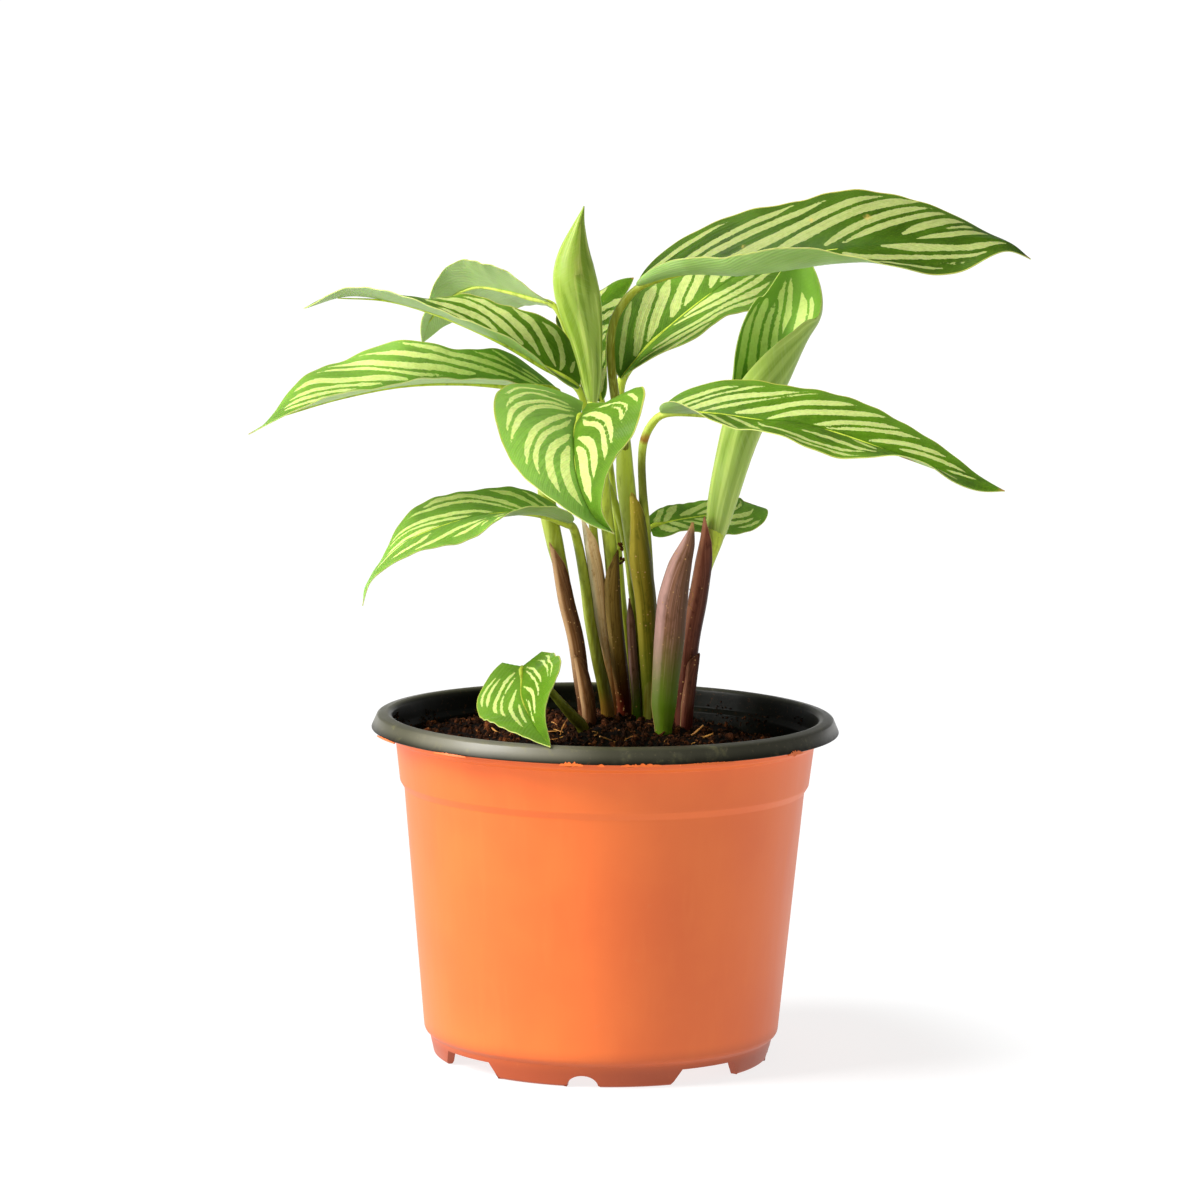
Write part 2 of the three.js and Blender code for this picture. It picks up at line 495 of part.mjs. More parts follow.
function potOuterSolid() {
  let pot = turnedSolid(OUTER_PROFILE);
  const halfLow = FOOT_RADIUS * Math.sin(THREE.MathUtils.degToRad(FOOT_GAP_LOW_DEG));
  const halfHigh = FOOT_RADIUS * Math.sin(THREE.MathUtils.degToRad(FOOT_GAP_HIGH_DEG));
  const gap = new THREE.Shape();
  gap.moveTo(-halfLow, -1).lineTo(halfLow, -1).lineTo(halfLow, 0);
  gap.lineTo(halfHigh, FOOT_GAP_HEIGHT).lineTo(-halfHigh, FOOT_GAP_HEIGHT).lineTo(-halfLow, 0);
  const notch = new THREE.Shape();
  notch.absellipse(0, 0, NOTCH_HALF_WIDTH, NOTCH_HEIGHT, 0, 2 * Math.PI);
  const turn = 360 / FOOT_COUNT;
  for (let foot = 0; foot < FOOT_COUNT; foot++) {
    const middle = FOOT_TURN_DEG + foot * turn;
    pot = pot.subtract(spokeCutter(gap, middle + turn / 2)).subtract(spokeCutter(notch, middle));
  }
  return pot;
}

function soilHeight(x, y) {
  const bump = ({ x: cx, y: cy, rise, spread }) => {
    return rise * Math.exp(-((x - cx) ** 2 + (y - cy) ** 2) / (2 * spread * spread));
  };
  const lumps = 0.7 * Math.sin(0.31 * x + 1) * Math.cos(0.27 * y) + 0.5 * Math.sin(0.17 * x - 0.21 * y);
  return SOIL_EDGE_Z + bump(SOIL_MOUND) + bump(SOIL_HOLLOW) + lumps;
}

// Radius of the lining's inner face at a height, less the clearance.
function soilRadius(z) {
  if (z < 95.8) return THREE.MathUtils.mapLinear(z, 10.2, 95.8, 61.2, 68.8) - CLEARANCE;
  if (z < 98.6) return THREE.MathUtils.mapLinear(z, 95.8, 98.6, 68.8, 70.5) - CLEARANCE;
  return THREE.MathUtils.mapLinear(z, 98.6, 113, 70.5, 72.1) - CLEARANCE;
}

function soilSolid() {
  const vertices = [];
  const triangles = [];
  const rings = [];
  const ring = (place) => {
    const row = [];
    for (let k = 0; k < ROUND_STEPS; k++) {
      row.push(vertices.push(place((2 * Math.PI * k) / ROUND_STEPS)) - 1);
    }
    rings.push(row);
  };
  for (const share of [0.25, 0.5, 0.75]) {
    ring((angle) => {
      const x = 71.5 * share * Math.cos(angle);
      const y = 71.5 * share * Math.sin(angle);
      return new THREE.Vector3(x, y, soilHeight(x, y));
    });
  }
  ring((angle) => {
    const z = soilHeight(71.5 * Math.cos(angle), 71.5 * Math.sin(angle));
    const radius = soilRadius(z);
    return new THREE.Vector3(radius * Math.cos(angle), radius * Math.sin(angle), z);
  });
  for (const z of [98.6, 95.8, 10.6]) {
    const radius = soilRadius(z) - (z < 11 ? 0.1 : 0);
    ring((angle) => new THREE.Vector3(radius * Math.cos(angle), radius * Math.sin(angle), z));
  }
  ring((angle) => new THREE.Vector3(60 * Math.cos(angle), 60 * Math.sin(angle), SOIL_FLOOR_Z));
  const top = vertices.push(new THREE.Vector3(0, 0, soilHeight(0, 0))) - 1;
  const bottom = vertices.push(new THREE.Vector3(0, 0, SOIL_FLOOR_Z)) - 1;
  for (let k = 0; k < ROUND_STEPS; k++) {
    const next = (k + 1) % ROUND_STEPS;
    triangles.push([top, rings[0][k], rings[0][next]]);
    for (let i = 0; i < rings.length - 1; i++) {
      triangles.push([rings[i][k], rings[i + 1][k], rings[i + 1][next]]);
      triangles.push([rings[i][k], rings[i + 1][next], rings[i][next]]);
    }
    triangles.push([bottom, rings[rings.length - 1][next], rings[rings.length - 1][k]]);
  }
  return solidOf(vertices, triangles);
}

const potted_calathea = new THREE.Group();
potted_calathea.name = 'potted_calathea';

function addNode(name, solid, slot) {
  const { vertProperties, triVerts } = solid.getMesh();
  const geometry = new THREE.BufferGeometry();
  geometry.setAttribute('position', new THREE.BufferAttribute(vertProperties, 3));
  geometry.setIndex(new THREE.BufferAttribute(triVerts, 1));
  geometry.computeVertexNormals();
  const material = new THREE.MeshStandardMaterial({ ...LOOKS[slot], metalness: 0 });
  material.name = slot;
  const mesh = new THREE.Mesh(geometry, material);
  mesh.name = name;
  mesh.position.x = OUTLINE_SHIFT_X;
  potted_calathea.add(mesh);
}

// Fronds: petioles first, because sheaths and soil are cut to clear them.
const roomForStems = [];
for (const [name, blades] of Object.entries(FRONDS)) {
  let body = null;
  for (const frond of blades) {
    const points = petiolePoints(frond);
    const steps = frond.rolled ? STEM_STEPS : STEM_STEPS + 3;
    const part = stemSolid(points, 0, steps).add(bladeSolid(frond));
    body = body ? body.add(part) : part;
    roomForStems.push(stemSolid(points, CLEARANCE, steps));
  }
  addNode(name, body, SLOT_OF[name] ?? 'leaf');
}

for (const [name, points] of Object.entries(SHEATHS)) {
  let body = stemSolid(points);
  for (const room of roomForStems) body = body.subtract(room);
  addNode(name, largestPiece(body), SLOT_OF[name] ?? 'brown_sheath');
  roomForStems.push(stemSolid(points, CLEARANCE));
}

let soil = soilSolid();
for (const room of roomForStems) soil = soil.subtract(room);
addNode('soil', largestPiece(soil), 'soil');
addNode('pot_outer', potOuterSolid(), 'terracotta_plastic');
addNode('pot_lining', turnedSolid(LINING_PROFILE), 'black_plastic');

export default potted_calathea;
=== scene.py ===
import math

import bpy
import numpy as np
from bpy.props import BoolProperty, FloatProperty, FloatVectorProperty, IntProperty, PointerProperty
from mathutils import Matrix, Vector, noise


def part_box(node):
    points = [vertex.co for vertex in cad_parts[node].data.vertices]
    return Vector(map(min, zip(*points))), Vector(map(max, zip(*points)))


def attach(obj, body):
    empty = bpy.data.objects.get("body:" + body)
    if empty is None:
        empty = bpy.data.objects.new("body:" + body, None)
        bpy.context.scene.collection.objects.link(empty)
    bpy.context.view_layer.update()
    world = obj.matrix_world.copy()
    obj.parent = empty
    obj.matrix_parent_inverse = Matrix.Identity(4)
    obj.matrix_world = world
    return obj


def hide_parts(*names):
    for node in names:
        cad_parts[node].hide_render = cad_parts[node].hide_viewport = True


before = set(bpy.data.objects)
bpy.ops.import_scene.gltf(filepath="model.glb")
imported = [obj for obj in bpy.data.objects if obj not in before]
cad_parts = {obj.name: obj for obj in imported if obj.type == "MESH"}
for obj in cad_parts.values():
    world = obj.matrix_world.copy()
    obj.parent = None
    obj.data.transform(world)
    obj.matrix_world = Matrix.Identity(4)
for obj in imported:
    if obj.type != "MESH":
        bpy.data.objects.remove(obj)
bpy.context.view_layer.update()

bl_info = {
    "name": "Potted calathea",
    "version": (1, 0, 0),
    "blender": (4, 5, 0),
    "location": "3D View > Sidebar > Calathea",
    "description": "Builds the striped leaves, stalks, sheaths, soil and pot of a potted calathea",
    "category": "Add Mesh",
}

POT_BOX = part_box("pot_lining")
POT_AXIS_X = (POT_BOX[0][0] + POT_BOX[1][0]) / 2
BODY = "root"
MM = 0.001
STEM_FOOT_Z = 100

# Every length in the tables below is in millimetres from the pot's upright axis at floor level.
# A list of stations is spread evenly from a blade's base to its drip tip.
#   node: the frond that the blade belongs to. The top right frond has two blades.
#   stem: the petiole as x, y, z, radius from the soil up.
#   midrib: x, y, z from the base to the drip tip.
#   face: stations of the way that the upper side looks.
#   widest: share of the length at the widest place.
#   taper: how slender the tip is.
#   start: share of its width that the blade has at the base.
#   wave: height, count and phase of the margin's waves.
#   lobe: how far the base reaches back beside the stem.
#   tone: lightness of the upper side and the underside, and of the second half's upper side if it differs.
#   It is partly the leaf's own lightness and partly painted light and shade that makes some leaves and
#   halves paler or darker.
#   rolled: the blade is still rolled up.
#   young: how fresh and pale the blade is.
#   spots: pale specks as share along, share across and radius.
#   split: how far apart two bars stay where they meet.
# These hold the left half first, seen from above with the tip ahead:
#   half: the greatest reach from the midrib. swell: stations of its share of that reach.
#   fold: stations in degrees, by which a half rises at the midrib.
#   curl: stations in degrees, by which a half bends on its way to the margin.
#   bars: the pale bars. A bar is its half width and then places on its middle line, as shares along the
#   blade and across its half. In short form it is its start at the midrib and its end near the margin.
BLADES = [{
    "node": "frond_upper_right",
    "stem": [[5.5, 17, 213.5, 1.8], [2, 11, 231.5, 1.7], [0.5, 8, 242.5, 1.6], [0, 7, 251, 1.5],
             [1, 6, 259.5, 1.5], [4, 6, 265.5, 1.5]],
    "midrib": [[9, 6, 272], [31, -8, 280], [48, -16, 283], [65, -24, 286], [98, -34, 291],
               [134, -38, 292], [143, -38, 286]],
    "face": [[0, -0.55, 0.85], [0, -0.6, 0.8]],
    "half": [24.5, 26], "widest": 0.5, "taper": 1.1,
    "fold": [[25, 25, 25, 15, -5, -50], [20, -15, -20, -15, -20, 25]],
    "curl": [[-10, -15, -20, -10, 0], [120, 120, 120, 115, 60, 10, 0]],
    "swell": [[1, 1, 1.15, 0.95], [0.45, 1.04, 0.8, 1.3]],
    "wave": [0.6, 4, 0.1], "tone": (0.72, 1.05), "split": 1.6,
    "bars": ([
        (1.2, (-0.05, 0.3), (0.09, 0.63), (0.235, 0.87)),
        (1.5, (0.1, 0.17), (0.146, 0.28), (0.27, 0.62), (0.404, 0.93)),
        (1.7, (0.15, 0.08), (0.175, 0.16), (0.32, 0.55), (0.493, 0.85)),
        (2.1, (0.246, 0.05), (0.44, 0.5), (0.629, 0.92)),
        (2.3, (0.37, 0.07), (0.4, 0.16), (0.55, 0.55), (0.72, 0.98)),
        (2.0, (0.504, 0.09), (0.63, 0.48), (0.757, 0.88)),
        (1.8, (0.546, 0.09), (0.67, 0.42), (0.786, 0.86)),
        (1.9, (0.69, 0.16), (0.76, 0.45), (0.83, 0.81)), (1.0, (0.79, 0.35), (0.85, 0.72)),
        (1.6, (0.725, 0.03), (0.8, 0.14), (0.886, 0.53)),
    ], [
        (0.1, 0.3), (0.18, 0.4), (0.3, 0.52), (0.38, 0.6),
        (1.7, (0.64, 0.05), (0.75, 0.2), (0.85, 0.33), (0.93, 0.22)),
        (1.9, (0.55, 0.12), (0.61, 0.35), (0.72, 0.47), (0.8, 0.5), (0.886, 0.67)),
        (1.1, (0.68, 0.56), (0.78, 0.62), (0.85, 0.76)), (1.0, (0.6, 0.58), (0.68, 0.68), (0.78, 0.8)),
    ]),
    "spots": [(0.29, -0.26, 0.9), (0.46, -0.53, 1), (0.60, -0.47, 1.3)],
}, {
    "node": "frond_upper_right",
    "stem": [[17, 26, STEM_FOOT_Z, 2.6], [16.5, 26, 122.5, 2.6], [15, 25, 144.5, 2.6], [12, 22, 163, 2.8],
             [8.5, 19, 184.5, 3.2], [6, 18, 202.5, 3.3], [5, 18, 216.5, 2.6], [3.5, 19, 227.5, 1.9]],
    "midrib": [[4, 20, 238], [10, 22, 246], [17, 27, 253], [35, 42, 267], [44, 50, 273], [55, 60, 278],
               [68, 70, 281]],
    "face": [[-0.15, -0.9, 0.4]],
    "half": [21, 20.5], "widest": 0.42, "taper": 1,
    "fold": [[40, 5, -20, -15, -5, 5], [75, 45, 45, 15, 5, -5]],
    "curl": [[30, 20, 10, 0, 0], [-10, -10, -10, 0, 0]],
    "swell": [[1, 0.95, 0.95, 1], [1]],
    "wave": [0.8, 3, 0.3], "tone": (1.24, 1),
    "bars": ([
        (1.2, (0.03, 0.36), (0.12, 0.6), (0.26, 0.87)), (2.3, (0.107, 0.11), (0.26, 0.52), (0.43, 0.93)),
        (2.1, (0.18, 0.11), (0.33, 0.45), (0.49, 0.86)), (2.0, (0.335, 0.14), (0.45, 0.42), (0.58, 0.72)),
        (1.8, (0.41, 0.16), (0.51, 0.36), (0.62, 0.62)), (1.6, (0.55, 0.12), (0.66, 0.42), (0.76, 0.7)),
        (1.4, (0.6, 0.08), (0.7, 0.17), (0.8, 0.3)), (1.4, (0.72, 0.12), (0.84, 0.5)),
    ], [
        (1.5, (0.3, 0.1), (0.4, 0.34), (0.57, 0.36), (0.85, 0.43)),
        (1.8, (0.36, 0.1), (0.5, 0.15), (0.8, 0.25)),
        (1.5, (0.15, 0.36), (0.24, 0.4), (0.32, 0.6), (0.4, 0.66), (0.53, 0.54), (0.76, 0.68)),
        (1.4, (0.09, 0.6), (0.24, 0.6), (0.36, 0.79), (0.5, 0.7), (0.66, 0.77)),
        (1.0, (0.14, 0.96), (0.22, 0.82), (0.34, 0.9)), (1.2, (0.55, 0.08), (0.7, 0.14), (0.9, 0.2)),
    ]),
}, {
    "node": "frond_mid_right",
    "stem": [[16.5, 15, STEM_FOOT_Z, 2.6], [16, 15, 124.5, 2.6], [15.5, 15, 146, 2.6],
             [14.5, 13, 164, 2.4], [13.5, 10, 182, 2], [12, 5, 200.5, 1.5], [11.5, 0, 211.5, 1.4],
             [12, -3, 218, 1.5], [14, -6, 223.5, 1.5]],
    "midrib": [[18, -10, 229], [38, -22, 230], [52, -32, 229], [65, -40, 229], [92, -52, 222],
               [119, -61, 213], [134, -64, 209]],
    "face": [[0, -0.5, 0.85]],
    "half": [19.5, 19.5], "widest": 0.45, "taper": 1,
    "fold": [[35, 25, 15, 10, 5, -15], [35, 20, 20, 25, 40, -10]],
    "curl": [[-10, -15, -20, -10, 0], [60, 20, 0, -20, 0, 0]],
    "swell": [[1], [1]],
    "wave": [0.6, 3, 0.6], "tone": (1.04, 1.1),
    "bars": ([
        (1.1, (0, 0.2), (0.057, 0.49), (0.204, 0.81)),
        (0.9, (0.03, 0.12), (0.068, 0.3), (0.16, 0.6), (0.254, 0.87)),
        (1.4, (0.06, 0.08), (0.093, 0.19), (0.214, 0.52), (0.39, 0.87)),
        (0.8, (0.12, 0.06), (0.175, 0.19), (0.3, 0.58), (0.43, 0.87)),
        (1.6, (0.225, 0.09), (0.36, 0.4), (0.53, 0.84)), (1.4, (0.325, 0.04), (0.48, 0.42), (0.62, 0.89)),
        (1.3, (0.464, 0.03), (0.56, 0.38), (0.67, 0.76)), (1.1, (0.5, 0.03), (0.61, 0.38), (0.73, 0.785)),
        (1.1, (0.62, 0.09), (0.72, 0.42), (0.82, 0.7)), (0.9, (0.7, 0.15), (0.8, 0.4), (0.886, 0.54)),
        (0.6, (0.84, 0.12), (0.92, 0.35)),
    ], [
        (1.1, (0.05, 0.1), (0.12, 0.5), (0.2, 0.95)), (1.3, (0.12, 0.08), (0.22, 0.6), (0.32, 0.95)),
        (1.1, (0.207, 0.1), (0.29, 0.4), (0.39, 0.96)),
        (1.0, (0.32, 0.24), (0.38, 0.6), (0.5, 0.75), (0.66, 0.62)),
        (1.2, (0.46, 0.4), (0.55, 0.4), (0.67, 0.55)), (0.7, (0.45, 0.92), (0.55, 0.84), (0.64, 0.87)),
        (0.9, (0.58, 0.08), (0.66, 0.3)), (0.9, (0.72, 0.1), (0.8, 0.5)), (0.8, (0.8, 0.1), (0.88, 0.5)),
    ]),
}, {
    "node": "furled_right",
    "stem": [[27, 14, STEM_FOOT_Z, 2.5], [27.5, 14, 123, 2.5], [29.5, 14, 142.5, 2.5],
             [31.5, 14, 160.5, 2.5], [34.5, 14, 173, 2.9], [37.6, 12, 183, 3.4], [38.6, 12, 188, 3.5],
             [40.3, 12.5, 196, 3.2]],
    "rolled": True,
    "midrib": [[39, 15, 182], [42, 16, 196], [49, 19, 221], [56, 21, 238], [62, 23, 256], [66, 24, 265],
               [67, 18, 285]],
    "face": [[-0.34, -0.94, 0.2]],
    "half": [20, 33], "widest": 0.5, "taper": 0.8, "start": 0.3,
    "fold": [[0], [0]],
    "curl": [[165, 158, 142, 100, 60, 36], [235, 235, 225, 170, 100, 60]],
    "swell": [[1, 0.86, 0.97, 1, 1], [0.97, 0.86, 0.97, 1, 1]],
    "wave": [0, 1, 0], "tone": (1.45, 1.05),
    "bars": ([
        (1.9, (0.4, 0.46), (0.537, 0.64), (0.61, 0.71), (0.682, 0.81), (0.75, 0.86)),
        (1.7, (0.5, 0.26), (0.6, 0.45), (0.715, 0.64), (0.8, 0.82)),
        (1.7, (0.55, 0.12), (0.638, 0.27), (0.733, 0.4), (0.8, 0.56)),
        (1.6, (0.6, 0.05), (0.667, 0.16), (0.795, 0.42), (0.9, 0.54)),
        (1.4, (0.698, 0.0), (0.743, 0.07), (0.805, 0.25), (0.9, 0.42)),
    ], [
        (2.2, (0.69, 0.2), (0.738, 0.17), (0.79, 0.12), (0.853, 0.02)),
        (1.4, (0.74, 0.3), (0.787, 0.29), (0.85, 0.27)), (0.3, 0.5), (0.42, 0.62), (0.56, 0.8),
    ]),
    "young": 0.8,
}, {
    "node": "furled_spear",
    "stem": [[7, 30, STEM_FOOT_Z, 2.2], [6.5, 30, 120, 2.2], [4.5, 24, 141, 2.2], [2.5, 20, 159.5, 2.2],
             [1, 16, 177.5, 2.4], [-1, 13, 192.5, 2.4], [-2.5, 10, 206.5, 2.3], [-4.5, 6, 221.5, 2.1],
             [-6, 3, 230.5, 1.9], [-6.6, 3.6, 235, 1.8]],
    "rolled": True,
    "midrib": [[-6, 4, 230], [-7, 7.5, 242], [-8.7, 9.5, 253], [-12.5, 11.5, 270], [-13, 9, 282],
               [-11.6, 4.6, 293], [-10, 1, 300]],
    "face": [[0, -1, 0.1]],
    "half": [26, 26], "widest": 0.62, "taper": 0.9, "start": 0.2,
    "fold": [[0], [0]],
    "curl": [[205], [180]],
    "swell": [[0.75, 0.75, 0.76, 0.84, 0.93, 1.02, 1.04, 1, 0.85, 0.6, 0.35],
              [0.72, 0.72, 0.98, 0.82, 0.35]],
    "wave": [0, 1, 0], "tone": (1, 1.05),
    "bars": ([], []),
    "young": 1,
}, {
    "node": "frond_back_left",
    "stem": [[8, 42, STEM_FOOT_Z, 1.5], [7.5, 42, 118.5, 1.5], [5.5, 40, 138.5, 1.5], [3.5, 38, 157, 1.5],
             [1, 36, 179, 1.4], [-1.5, 33, 201, 1.4], [-4.5, 30, 219, 1.4], [-7, 28, 230, 1.3],
             [-10.5, 26, 240.5, 1.3], [-15, 25, 253, 1.2]],
    "midrib": [[-20, 24, 264], [-29, 30, 266], [-40, 38, 268], [-51, 46, 268], [-59, 52, 263],
               [-65, 56, 256], [-68, 58, 247]],
    "face": [[0, 0.8, 0.6], [-0.3, 0.8, 0.5]],
    "half": [14, 17], "widest": 0.45, "taper": 1,
    "fold": [[-35, -10, -5, 5, -30, -30], [30, 35, 20, 5, 0, -5]],
    "curl": [[0], [0]],
    "swell": [[1, 1.1, 0.8, 0.95], [1]],
    "wave": [0.6, 2, 0.2], "tone": (0.9, 1.3),
    "bars": ([
        (0.06, 0.24), (0.12, 0.32), (0.26, 0.48), (0.34, 0.56), (0.48, 0.70), (0.56, 0.78), (0.70, 0.88),
    ], [
        (0.05, 0.24), (0.12, 0.33), (0.26, 0.50), (0.34, 0.58), (0.48, 0.70), (0.57, 0.79), (0.70, 0.90),
    ]),
}, {
    "node": "frond_upper_left",
    "stem": [[13.5, 34, STEM_FOOT_Z, 1.5], [13, 34, 121.5, 1.5], [11, 30, 143.5, 1.5], [9, 28, 162, 1.5],
             [6.5, 26, 178.5, 1.4], [2.5, 24, 193, 1.4], [-2.5, 22, 205.5, 1.4], [-7.5, 18, 222, 1.4]],
    "midrib": [[-11, 10, 236], [-19, 8, 241], [-39, 6, 252], [-49, 8, 256], [-62, 12, 261],
               [-92, 24, 266], [-109, 28, 261]],
    "face": [[0.2, -0.45, 0.9], [0, -0.45, 0.9]],
    "half": [19.5, 21], "widest": 0.42, "taper": 1,
    "fold": [[15, 35, 40, 40, 45, 35], [25, 35, 15, -15, -20, -5]],
    "curl": [[0], [0]],
    "swell": [[1], [1.2, 0.75, 1.05, 1]],
    "wave": [0.6, 3, 0.4], "tone": (1.06, 1.2),
    "bars": ([
        (0.05, 0.22), (0.12, 0.3), (0.22, 0.42), (0.3, 0.52), (0.42, 0.66), (0.52, 0.74), (0.64, 0.86),
    ], [
        (0.8, (0.045, 0.3), (0.045, 0.75)), (1.2, (0.08, 0.15), (0.085, 0.4), (0.13, 0.75), (0.2, 0.88)),
        (1.1, (0.1, 0.15), (0.16, 0.45), (0.24, 0.8), (0.31, 0.97)),
        (1.4, (0.165, 0.18), (0.22, 0.4), (0.32, 0.72), (0.42, 0.86), (0.5, 0.87)),
        (1.5, (0.23, 0.2), (0.31, 0.42), (0.4, 0.65), (0.52, 0.74), (0.62, 0.95)),
        (1.5, (0.325, 0.22), (0.38, 0.38), (0.5, 0.42), (0.59, 0.6), (0.64, 0.85)),
        (0.8, (0.37, 0.15), (0.46, 0.2), (0.55, 0.3)), (1.2, (0.5, 0.1), (0.62, 0.3), (0.75, 0.7)),
        (1.1, (0.6, 0.1), (0.7, 0.4), (0.82, 0.75)), (1.0, (0.72, 0.1), (0.86, 0.5)),
    ]),
}, {
    "node": "frond_mid_left",
    "stem": [[-6, 14, STEM_FOOT_Z, 1.8], [-6.5, 14, 122.5, 1.8], [-11, 13, 145.5, 1.8],
             [-14.5, 12, 163.5, 2], [-18.5, 12, 179.5, 3], [-21.5, 13, 193.5, 3.2], [-23, 14, 208, 2.2],
             [-21.5, 13, 222, 1.8]],
    "midrib": [[-18, 13, 234], [-28, 8, 236], [-52, -4, 238], [-66, -10, 238], [-83, -18, 236],
               [-113, -32, 228], [-124, -36, 222]],
    "face": [[0, -0.45, 0.9]],
    "half": [19, 21], "widest": 0.48, "taper": 1.05,
    "fold": [[15, 30, 35, 35, 40, 30], [0, 45, 50, 10, 5, -50]],
    "curl": [[0], [0, -20, -20, -20, 0]],
    "swell": [[1], [1.15, 0.65, 1.25, 0.95]],
    "wave": [0.5, 4, 0.2], "tone": (1.42, 1.3),
    "bars": ([
        (0.05, 0.24), (0.12, 0.34), (0.24, 0.48), (0.32, 0.57), (0.46, 0.7), (0.55, 0.78), (0.68, 0.88),
    ], [
        (0.7, (0.04, 0.3), (0.07, 0.52), (0.13, 0.63), (0.17, 0.8), (0.21, 0.97)),
        (0.7, (0.05, 0.25), (0.09, 0.42), (0.15, 0.59), (0.21, 0.75), (0.27, 0.95)),
        (1.1, (0.06, 0.11), (0.12, 0.28), (0.18, 0.44), (0.24, 0.61), (0.31, 0.78), (0.48, 0.93)),
        (1.1, (0.14, 0.2), (0.21, 0.33), (0.29, 0.52), (0.36, 0.62), (0.46, 0.67), (0.57, 0.92)),
        (1.5, (0.275, 0.27), (0.38, 0.36), (0.46, 0.38), (0.52, 0.5), (0.6, 0.8), (0.66, 0.92)),
        (0.9, (0.34, 0.2), (0.46, 0.24), (0.53, 0.38), (0.6, 0.62), (0.71, 0.9)),
        (1.6, (0.486, 0.12), (0.6, 0.3), (0.67, 0.43), (0.73, 0.65), (0.8, 0.8)),
        (1.1, (0.56, 0.1), (0.66, 0.24), (0.74, 0.38), (0.83, 0.62)),
        (1.2, (0.64, 0.12), (0.73, 0.22), (0.8, 0.33), (0.86, 0.5)),
        (0.9, (0.69, 0.08), (0.8, 0.17), (0.87, 0.34)),
    ]),
    "young": 0.15,
}, {
    "node": "frond_front",
    "stem": [[3, 34, STEM_FOOT_Z, 1.8], [2.5, 34, 119.5, 1.8], [0.5, 30, 136.5, 1.8],
             [-1.5, 26, 151.5, 1.8], [-3.5, 20, 170, 1.6], [-5.5, 14, 188.5, 1.5], [-6, 10, 203, 1.5],
             [-7.5, 3, 218, 1.5]],
    "midrib": [[-10, -18, 229], [-12, -34, 226], [-12, -50, 220], [-11, -61, 212], [-8, -69, 204],
               [-4, -74, 198], [2, -77, 194]],
    "face": [[0, -0.2, 0.98], [0, -0.6, 0.8], [0, -0.95, 0.4]],
    "half": [23, 26], "widest": 0.3, "taper": 0.9, "lobe": 13,
    "fold": [[25, 45, 45, 40, 55, 75], [40, 35, 30, 20, 40, 65]],
    "curl": [[-20, -20, -20, -10, 0], [-20, -20, -20, -10, 0]],
    "swell": [[0.75, 1.3, 0.95, 0.9], [1.1, 1.15, 0.95, 1]],
    "wave": [0.4, 3, 0.2], "tone": (1.12, 1.1, 1.6),
    "bars": ([
        (1.3, (0.107, 0.154), (0.214, 0.265), (0.286, 0.35), (0.336, 0.4), (0.4, 0.5), (0.55, 0.67)),
        (0.9, (0.2, 0.4), (0.27, 0.52), (0.36, 0.72), (0.43, 0.8)),
        (0.8, (0.31, 0.55), (0.38, 0.68), (0.46, 0.74)), (0.8, (0.29, 0.8), (0.35, 0.87), (0.39, 0.91)),
        (1.1, (0.225, 0.167), (0.307, 0.2), (0.371, 0.314), (0.443, 0.45), (0.514, 0.52), (0.64, 0.68)),
        (1.5, (0.386, 0.07), (0.43, 0.167), (0.486, 0.277), (0.557, 0.363), (0.63, 0.424), (0.71, 0.46)),
        (1.9, (0.457, 0.056), (0.53, 0.154), (0.607, 0.19), (0.686, 0.228), (0.75, 0.252), (0.81, 0.265)),
    ], [
        (0.8, (0.02, 0.3), (0.086, 0.5), (0.143, 0.69), (0.24, 0.79), (0.33, 0.86)),
        (1.0, (0.014, 0.25), (0.08, 0.275), (0.143, 0.446), (0.214, 0.593), (0.3, 0.74), (0.45, 0.89)),
        (1.1, (0.043, 0.164), (0.1, 0.225), (0.17, 0.37), (0.243, 0.507), (0.32, 0.62), (0.49, 0.875)),
        (0.6, (0.05, 0.72), (0.14, 0.86), (0.26, 0.9)),
        (1.2, (0.107, 0.08), (0.186, 0.176), (0.257, 0.262), (0.336, 0.373), (0.4, 0.495), (0.59, 0.79)),
        (1.0, (0.17, 0.08), (0.27, 0.13), (0.35, 0.25), (0.43, 0.41), (0.52, 0.56), (0.65, 0.7)),
        (1.4, (0.336, 0.06), (0.4, 0.127), (0.47, 0.275), (0.543, 0.385), (0.629, 0.458), (0.74, 0.57)),
        (1.7, (0.45, 0.08), (0.53, 0.14), (0.614, 0.19), (0.7, 0.225), (0.764, 0.238), (0.81, 0.2)),
    ]),
    "young": 0.2,
}, {
    "node": "frond_low_left",
    "stem": [[1.5, 22, STEM_FOOT_Z, 2.4], [0.5, 22, 121.5, 2.4], [-3, 21, 137.5, 2.2], [-6, 20, 152, 2],
             [-8, 17, 166.5, 1.9], [-10.5, 12, 180, 1.7], [-12.5, 5, 187, 1.5]],
    "midrib": [[-14, 0, 189], [-27, -12, 194], [-38, -18, 194], [-48, -24, 193], [-70, -36, 185],
               [-82, -42, 172], [-84, -43, 164]],
    "face": [[0, -0.5, 0.86], [-0.1, -0.6, 0.8]],
    "half": [16.5, 17], "widest": 0.45, "taper": 1.4,
    "fold": [[5, 10, 15, 10, 30, 60], [25, 10, 5, -10, -45, -55]],
    "curl": [[70, 60, 10, 0, 0], [0, -10, -10, 0, 0]],
    "swell": [[1, 0.9, 1, 0.95], [1, 0.9, 1.1, 1]],
    "wave": [0.5, 3, 0.3], "tone": (1.42, 1.1),
    "bars": ([
        (0.05, 0.22), (0.12, 0.3), (0.22, 0.42), (0.9, (0.38, 0.42), (0.48, 0.55), (0.57, 0.65)),
        (0.9, (0.4, 0.33), (0.53, 0.35), (0.61, 0.5), (0.735, 0.83)),
